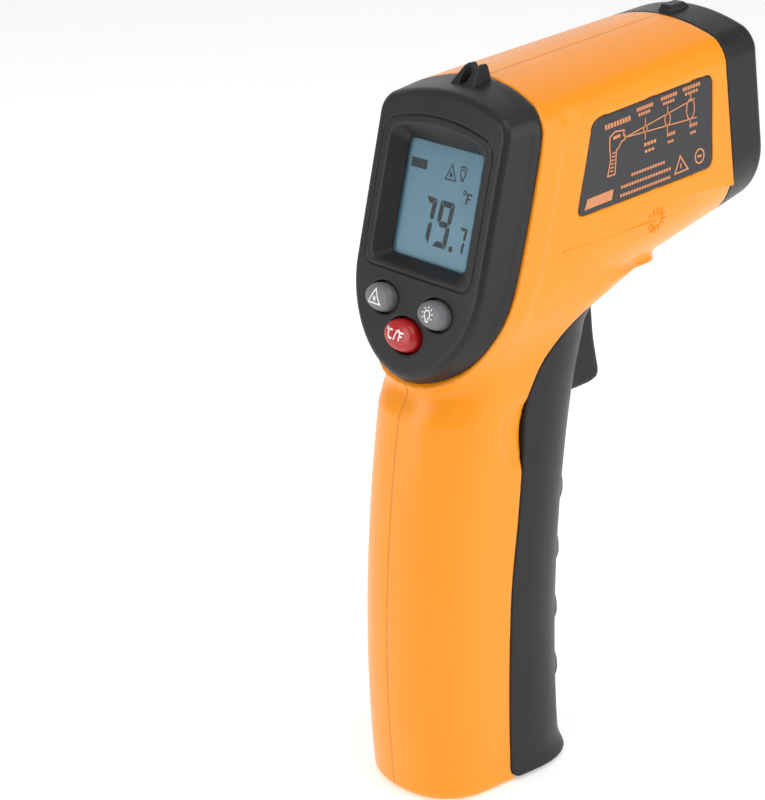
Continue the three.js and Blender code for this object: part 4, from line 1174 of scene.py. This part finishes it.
def digit(number, x, y, w, h, t, slant=0.09):
    """Seven-segment number with pointed strokes, leaning to the right."""
    g = t * 0.12
    half = h / 2
    shapes = {
        "top": [(g + 0.1 * t, h), (w - g - 0.1 * t, h), (w - t, h - t), (t, h - t)],
        "bottom": [(t, t), (w - t, t), (w - g - 0.1 * t, 0), (g + 0.1 * t, 0)],
        "middle": [
            (t * 0.45 + g, half),
            (t + g * 0.5, half + t / 2),
            (w - t - g * 0.5, half + t / 2),
            (w - t * 0.45 - g, half),
            (w - t - g * 0.5, half - t / 2),
            (t + g * 0.5, half - t / 2),
        ],
        "upper_left": [(0, h - g), (t, h - t - g), (t, half + t / 2 + g), (t * 0.45, half + g), (0, half + t * 0.4 + g)],
        "upper_right": [(w, h - g), (w, half + t * 0.4 + g), (w - t * 0.45, half + g), (w - t, half + t / 2 + g), (w - t, h - t - g)],
        "lower_right": [(w, g), (w - t, t + g), (w - t, half - t / 2 - g), (w - t * 0.45, half - g), (w, half - t * 0.4 - g)],
        "lower_left": [(0, g), (0, half - t * 0.4 - g), (t * 0.45, half - g), (t, half - t / 2 - g), (t, t + g)],
    }
    return [[(x + a + slant * b, y + b) for a, b in shapes[key]] for key in SEGMENT_KEYS[number]]


def bulb(x, y, size, width, rays=True):
    """A lamp with a screw foot and short rays."""
    out = stroke(ellipse_points(x, y + size * 0.1, size * 0.3, size * 0.32, 14, -60, 240), width)
    for line in (
        [(x - size * 0.13, y - size * 0.17), (x - size * 0.13, y - size * 0.42)],
        [(x + size * 0.13, y - size * 0.17), (x + size * 0.13, y - size * 0.42)],
        [(x - size * 0.15, y - size * 0.44), (x + size * 0.15, y - size * 0.44)],
    ):
        out += stroke(dense(line, 0.4), width)
    if rays:
        for turn in range(-30, 211, 40):
            c, s = math.cos(math.radians(turn)), math.sin(math.radians(turn))
            a, b = size * 0.46, size * 0.62
            out += stroke([(x + a * c, y + size * 0.1 + a * s), (x + b * c, y + size * 0.1 + b * s)], width)
    return out


def star(x, y, size, points=8):
    """A small burst of pointed rays round a dot."""
    out = [ellipse_points(x, y, size * 0.34, size * 0.34, 10)]
    for k in range(points):
        a = math.tau * k / points
        c, s = math.cos(a), math.sin(a)
        w = size * 0.16
        out.append([(x - w * s, y + w * c), (x + w * s, y - w * c), (x + size * c, y + size * s)])
    return out


def letter_c(x, y, w, h, t):
    return stroke(ellipse_points(x + w / 2, y + h / 2, w / 2, h / 2, 14, 50, 310), t)


def letter_f(x, y, w, h, t, lean=0.12):
    top = x + lean * h
    lines = [
        [(x, y), (top, y + h)],
        [(top - t / 2, y + h - t / 2), (top + w, y + h - t / 2)],
        [(x + lean * h / 2, y + h * 0.5), (x + lean * h / 2 + w * 0.8, y + h * 0.5)],
    ]
    return [quad for line in lines for quad in stroke(dense(line, 0.4), t)]


def degree(x, y, r, t):
    return stroke(ellipse_points(x, y, r, r, 10), t, closed=True)


def lcd_place(a, b):
    """Face coordinates of a point given as shares of the display's width and height from its top left."""
    return -LCD_HALF_WIDTH + 2 * LCD_HALF_WIDTH * a, LCD_TOP - (LCD_TOP - LCD_BOTTOM) * b


def display_marks():
    """The reading, its unit and the small signs above it."""
    out = []
    x, y = lcd_place(0.27, 0.86)
    out += digit("7", x, y, 3.5, 9.4, 1.2)
    x, y = lcd_place(0.475, 0.86)
    out += digit("9", x, y, 4.3, 9.4, 1.2)
    x, y = lcd_place(0.71, 0.865)
    out.append(rect(x, x + 1.05, y, y + 1.05))
    x, y = lcd_place(0.79, 0.865)
    out += digit("7", x, y, 2.3, 5.4, 0.66)
    x, y = lcd_place(0.8, 0.43)
    out += degree(x, y + 2.0, 0.42, 0.26)
    out += letter_f(x + 0.75, y - 0.15, 1.2, 2.2, 0.42)
    x, y = lcd_place(0.03, 0.245)
    out.append(rect(x, x + 4.9, y, y + 1.9))
    x, y = lcd_place(0.58, 0.215)
    triangle = [(x - 1.6, y - 1.35), (x + 1.6, y - 1.35), (x, y + 1.75)]
    out += stroke(triangle, 0.27, closed=True)
    out += star(x, y - 0.35, 0.85)
    x, y = lcd_place(0.735, 0.205)
    out += bulb(x, y, 2.6, 0.27, rays=False)
    out += stroke(ellipse_points(x, y + 0.3, 1.35, 1.35, 8, 40, 140), 0.27)
    return out


segments = marks("display_segments", display_marks(), on_face(LCD_DEPTH), lcd_ink, 0.04, -0.1)
finish_piece(segments, "housing", "lcd")


# ---------------------------------------------------------------- keys
def key_height(key, u, v):
    """Height of a key's domed top above the face."""
    ku, kv, a, b = key
    share = np.hypot((u - ku) / a, (v - kv) / b)
    return KEY_PROUD * (0.3 + 0.7 * ramp(1 - share**2.6) ** 0.55)


def key_field(key):
    ku, kv, a, b = key

    def field(q):
        u, v, n = q.T
        share = np.hypot((u - ku) / a, (v - kv) / b)
        top = n - KEY_PROUD * (1 - 0.42 * ramp(share) ** 3.0)
        wall = superellipse(u - ku, v - kv, a, b, 2.0)
        dome = round_max(top, wall, 1.0)
        flange = np.maximum(superellipse(u - ku, v - kv, a + 0.7, b + 0.6, 2.0), np.abs(n + 3.2) - 0.6)
        stem = np.maximum(np.hypot(u - ku, v - kv) - 1.4, np.abs(n + 4.2) - 0.8)
        return np.minimum(np.minimum(np.maximum(dome, -3.8 - n), flange), stem)

    return field


def lift_on(surface):
    """Places marks on a key's domed top."""

    def lift(q, extra):
        height = zero_height(lambda n: surface(np.column_stack([q, n])), len(q), -1.0, KEY_PROUD + 1)
        return from_face(np.column_stack([q, height + extra]))

    return lift


def key_icon(name, u, v):
    if name == "laser_button":
        triangle = [(u - 1.8, v - 1.3), (u + 1.8, v - 1.3), (u, v + 1.65), (u - 1.8, v - 1.3)]
        return stroke(dense(triangle, 0.4), 0.3) + star(u, v - 0.35, 0.85)
    if name == "backlight_button":
        return bulb(u, v - 0.15, 2.7, 0.28)
    out = degree(u - 2.75, v + 0.95, 0.26, 0.22) + letter_c(u - 2.35, v - 0.95, 1.5, 1.9, 0.36)
    out += stroke(dense([(u - 0.55, v - 1.05), (u + 0.25, v + 1.1)], 0.4), 0.3)
    return out + degree(u + 0.75, v + 0.95, 0.26, 0.22) + letter_f(u + 1.05, v - 0.95, 0.95, 1.9, 0.36)


for key_name, key in KEYS.items():
    ku, kv, a, b = key
    field = key_field(key)
    axes = (
        axis_steps(ku - a - 1.2, ku + a + 1.2, 0.24),
        axis_steps(kv - b - 1.2, kv + b + 1.2, 0.24),
        axis_steps(-5.4, KEY_PROUD + 0.5, 0.24),
    )
    is_red = key_name == "unit_button"
    cap = moulded(key_name + "_cap", field, axes, red_key if is_red else grey_key, from_face)
    finish_piece(cap, key_name, "red_key" if is_red else "grey_key", key_name)
    icon = marks(key_name + "_icon", key_icon(key_name, ku, kv), lift_on(field), white_print, 0.045, -0.15)
    finish_piece(icon, key_name, "white_plastic")


# ---------------------------------------------------------------- side labels and raised marks
def on_wall(side):
    """Places marks given in the side view (y, z) on the housing's side wall."""

    def lift(q, extra):
        x = zero_height(lambda x: body_form(np.column_stack([x, q])), len(q), 8.0, 23.0)
        return np.column_stack([side * (x + extra), q])

    return lift


def label_plate(name, side):
    """The printed film in its shallow recess, with a rolled edge."""

    def field(p):
        x = np.abs(p[:, 0])
        s = barrel_coords(p)[:, 1]
        face = x - barrel_half_width(s) + 0.06
        return round_max(round_max(label_side(p[:, 1], p[:, 2]), face, 0.12), -face - 0.4, 0.05)

    x = (axis_steps(17.8, 21.2, 0.2) if side > 0 else -axis_steps(17.8, 21.2, 0.2)[::-1])
    return moulded(name, field, (x, axis_steps(18.5, 62, 0.4), axis_steps(122, 149, 0.4)), label_film)


def side_point(a, b):
    """A point on the label from shares of its length (from the rear) and height (from the foot)."""
    c = np.array(LABEL_CORNERS)
    low = c[0] + (c[1] - c[0]) * a
    high = c[3] + (c[2] - c[3]) * a
    return low + (high - low) * b


def bars(a0, a1, b, count, height):
    """A row of short bars that stands for a printed line."""
    out = []
    span = (a1 - a0) / count
    for k in range(count):
        start = side_point(a0 + span * k, b)
        stop = side_point(a0 + span * (k + 0.72), b)
        out += stroke([start, stop], height)
    return out


def spot_diagram():
    """An instrument, the two lines of its measuring cone, and three spots across it."""
    out = []
    gun = [(0.16, 0.745), (0.2, 0.785), (0.272, 0.765), (0.272, 0.71), (0.285, 0.705), (0.285, 0.66)]
    gun += [(0.262, 0.655), (0.245, 0.6), (0.228, 0.58), (0.24, 0.325), (0.185, 0.33), (0.192, 0.5), (0.172, 0.62)]
    out += stroke([side_point(*q) for q in gun], 0.3, closed=True)
    out += stroke([side_point(0.19, 0.72), side_point(0.245, 0.725)], 0.6)
    for k in range(6):
        out += stroke([side_point(0.2, 0.56 - 0.038 * k), side_point(0.222, 0.562 - 0.038 * k)], 0.28)
    apex = side_point(0.29, 0.68)
    upper, lower = side_point(0.85, 0.81), side_point(0.87, 0.6)
    out += stroke(dense([apex, upper], 2.0), 0.24) + stroke(dense([apex, lower], 2.0), 0.24)
    for a, b, half_height, half_width in ((0.447, 0.69, 0.66, 0.5), (0.627, 0.7, 1.25, 0.8), (0.816, 0.715, 2.1, 1.2)):
        y, z = side_point(a, b)
        out += stroke(ellipse_points(y, z, half_width, half_height, 20), 0.26, closed=True)
        out += stroke([(y, z + half_height), (y, z + half_height + 1.5)], 0.22)
        out += stroke([(y, z - half_height), (y, z - half_height - 1.5)], 0.22)
    return out


def right_print():
    out = spot_diagram()
    out += bars(0.11, 0.32, 0.868, 9, 1.0)
    for a0, a1, b0, b1 in ((0.36, 0.5, 0.924, 0.865), (0.56, 0.7, 0.94, 0.88), (0.745, 0.9, 0.948, 0.89)):
        out += bars(a0, a1, b0, 7, 0.75) + bars(a0 + 0.02, a1 - 0.02, b1, 5, 0.6)
    for a0, a1, b0, b1 in ((0.45, 0.55, 0.52, 0.445), (0.63, 0.7, 0.53, 0.45), (0.81, 0.88, 0.535, 0.455)):
        out += bars(a0, a1, b0, 4, 0.7) + bars(a0 + 0.01, a1 - 0.01, b1, 3, 0.55)
    out += bars(0.37, 0.63, 0.25, 13, 0.6) + bars(0.3, 0.68, 0.155, 19, 0.6) + bars(0.3, 0.68, 0.065, 19, 0.6)
    out.append([side_point(*q) for q in ((0.045, 0.055), (0.24, 0.06), (0.243, 0.17), (0.055, 0.165))])
    triangle = [side_point(0.745, 0.25), side_point(0.71, 0.075), side_point(0.81, 0.08)]
    out += stroke(triangle, 0.34, closed=True) + stroke([side_point(0.755, 0.115), side_point(0.752, 0.17)], 0.3)
    out += stroke(ellipse_points(*side_point(0.9, 0.17), 1.35, 1.5, 18), 0.34, closed=True)
    return out + stroke([side_point(0.885, 0.17), side_point(0.915, 0.17)], 0.5)


def left_print():
    out = bars(0.2, 0.86, 0.66, 14, 1.9)
    out += bars(0.2, 0.86, 0.4, 18, 1.3)
    out += stroke(dense([side_point(0.18, 0.54), side_point(0.88, 0.54)], 2.0), 0.22)
    return out


for side, word, printed in ((1, "right", right_print()), (-1, "left", left_print())):
    film = label_plate(word + "_label_film", side)
    finish_piece(film, "housing", "side_label", word + "_label")
    ink = marks(word + "_label_print", printed, on_wall(side), orange_print, -0.015, -0.14, side < 0)
    finish_piece(ink, "housing", "orange_shell")


def capsule(start, stop, r, proud, rings=5, around=12):
    """A long low pill between two points (y, z): its rings of points, their heights, and faces."""
    a, b = np.array(start, float), np.array(stop, float)
    length = np.linalg.norm(b - a)
    along = (b - a) / max(length, 1e-6)
    across = np.array([-along[1], along[0]])
    outline = []
    for middle, first in ((a, 0.5), (b, -0.5)):
        for t in np.linspace(first * math.pi, (first + 1) * math.pi, around):
            outline.append(middle + r * (math.cos(t) * along + math.sin(t) * across))
    outline = np.array(outline)
    spine = a + np.clip((outline - a) @ along, 0, length)[:, None] * along
    n = len(outline)
    points, heights, faces = [], [], []
    for k in range(rings + 1):
        rise = math.pi / 2 * k / rings
        points.append(outline + (spine - outline) * (1 - math.cos(rise)) * 0.98)
        heights.append(np.full(n, -0.12 + (proud + 0.12) * math.sin(rise)))
    for k in range(rings):
        for i in range(n):
            j = (i + 1) % n
            faces.append([k * n + i, k * n + j, (k + 1) * n + j, (k + 1) * n + i])
    faces += [list(range(rings * n, (rings + 1) * n)), list(reversed(range(n)))]
    return np.vstack(points), np.concatenate(heights), faces


def raised_sun(side):
    """A line that ends in a burst of short rays, raised on the wall below the label."""
    middle = np.array([43.6, 118.7])
    pieces = [capsule((17.0, 117.2), (40.4, 118.6), 0.4, 0.32)]
    for k in range(12):
        a = math.tau * k / 12
        ray = np.array([math.cos(a), math.sin(a)])
        pieces.append(capsule(middle + 1.55 * ray, middle + 2.6 * ray, 0.3, 0.32, 4, 6))
    pieces.append(capsule(middle, middle + [0.01, 0], 0.95, 0.3, 5, 8))
    starts = np.cumsum([0] + [len(points) for points, _, _ in pieces])
    faces = []
    for start, (_, _, part) in zip(starts, pieces):
        faces += [[start + i for i in (face if side > 0 else face[::-1])] for face in part]
    points = np.vstack([p for p, _, _ in pieces])
    return on_wall(side)(points, np.concatenate([h for _, h, _ in pieces])), faces


for side, word in ((1, "right"), (-1, "left")):
    verts, faces = raised_sun(side)
    sun = mesh_object(word + "_raised_sun", verts, faces, orange)
    finish_piece(sun, "housing", "orange_shell")

# ---------------------------------------------------------------- floor, light and camera
floor_nodes = Nodes("studio_floor")
floor_nodes.set(Base_Color=floor_nodes.mix(floor_nodes.noise(8, 3), srgb(242, 242, 242), srgb(246, 246, 246)))
floor_nodes.set(Roughness=0.7, Emission_Color=srgb(255, 255, 255), Emission_Strength=0.42)


def cyclorama(width, front, back, height, bend):
    """A floor that curves up into a backdrop behind the object."""
    profile = [(-front, 0.0), (back - bend, 0.0)]
    profile += [(y, z + bend) for y, z in arc((back - bend, 0.0), bend, -90, 0, 16)]
    profile.append((back, height))
    verts = [(x, y, z) for y, z in profile for x in (-width, width)]
    faces = [[2 * i, 2 * i + 1, 2 * i + 3, 2 * i + 2] for i in range(len(profile) - 1)]
    return verts, faces


AZIMUTH, ELEVATION, ROLL = 48.3, 19.7, 0.15
DISTANCE = 480.0
PIVOT = Vector((0, 25, 80))
sweep_verts, sweep_faces = cyclorama(4000, 4000, 4000, 4000, 800)
sweep = mesh_object("studio_sweep", np.array(sweep_verts), sweep_faces, floor_nodes.material)
sweep.rotation_euler[2] = math.radians(AZIMUTH)


def area_light(name, azimuth, elevation, distance, width, height, power):
    """A softbox that faces the object, placed by its direction."""
    a, e = math.radians(azimuth), math.radians(elevation)
    back = Vector((math.sin(a) * math.cos(e), -math.cos(a) * math.cos(e), math.sin(e)))
    light = bpy.data.lights.new(name, "AREA")
    light.shape, light.size, light.size_y, light.energy = "RECTANGLE", width, height, power
    obj = bpy.data.objects.new(name, light)
    obj.location = PIVOT * MM + back * distance
    obj.rotation_euler = (-back).to_track_quat("-Z", "Y").to_euler()
    bpy.context.scene.collection.objects.link(obj)
    return obj


area_light("key_softbox", AZIMUTH + 66, 24, 0.9, 0.4, 0.9, 3.6)
area_light("fill_softbox", AZIMUTH - 72, 16, 0.9, 0.35, 0.9, 3.2)
area_light("top_softbox", AZIMUTH + 10, 78, 0.9, 0.7, 0.7, 3.0)
area_light("front_softbox", AZIMUTH, 30, 1.4, 0.8, 0.8, 0.9)

world = bpy.data.worlds.new("studio_world")
world.use_nodes = True
world.node_tree.nodes["Background"].inputs["Color"].default_value = (1, 1, 1, 1)
world.node_tree.nodes["Background"].inputs["Strength"].default_value = 0.34
scene = bpy.context.scene
scene.world = world
scene.view_settings.view_transform = "Standard"

IMAGE_HEIGHT = 800
FOCAL_PIXELS = 4.73 * DISTANCE
SHIFT_X, SHIFT_Y = -0.1801, -0.00625
a, e = math.radians(AZIMUTH), math.radians(ELEVATION)
back = Vector((math.sin(a) * math.cos(e), -math.cos(a) * math.cos(e), math.sin(e)))
camera_data = bpy.data.cameras.new("camera")
camera_data.sensor_width = 36
camera_data.lens = FOCAL_PIXELS * 36 / IMAGE_HEIGHT
camera_data.shift_x, camera_data.shift_y = SHIFT_X, SHIFT_Y
camera_data.clip_start, camera_data.clip_end = 0.01, 20
camera = bpy.data.objects.new("camera", camera_data)
camera.location = (PIVOT + back * DISTANCE) * MM
aim = (-back).to_track_quat("-Z", "Y").to_matrix()
camera.rotation_euler = (aim @ Matrix.Rotation(math.radians(-ROLL), 3, "Z")).to_euler()
scene.collection.objects.link(camera)
scene.camera = camera
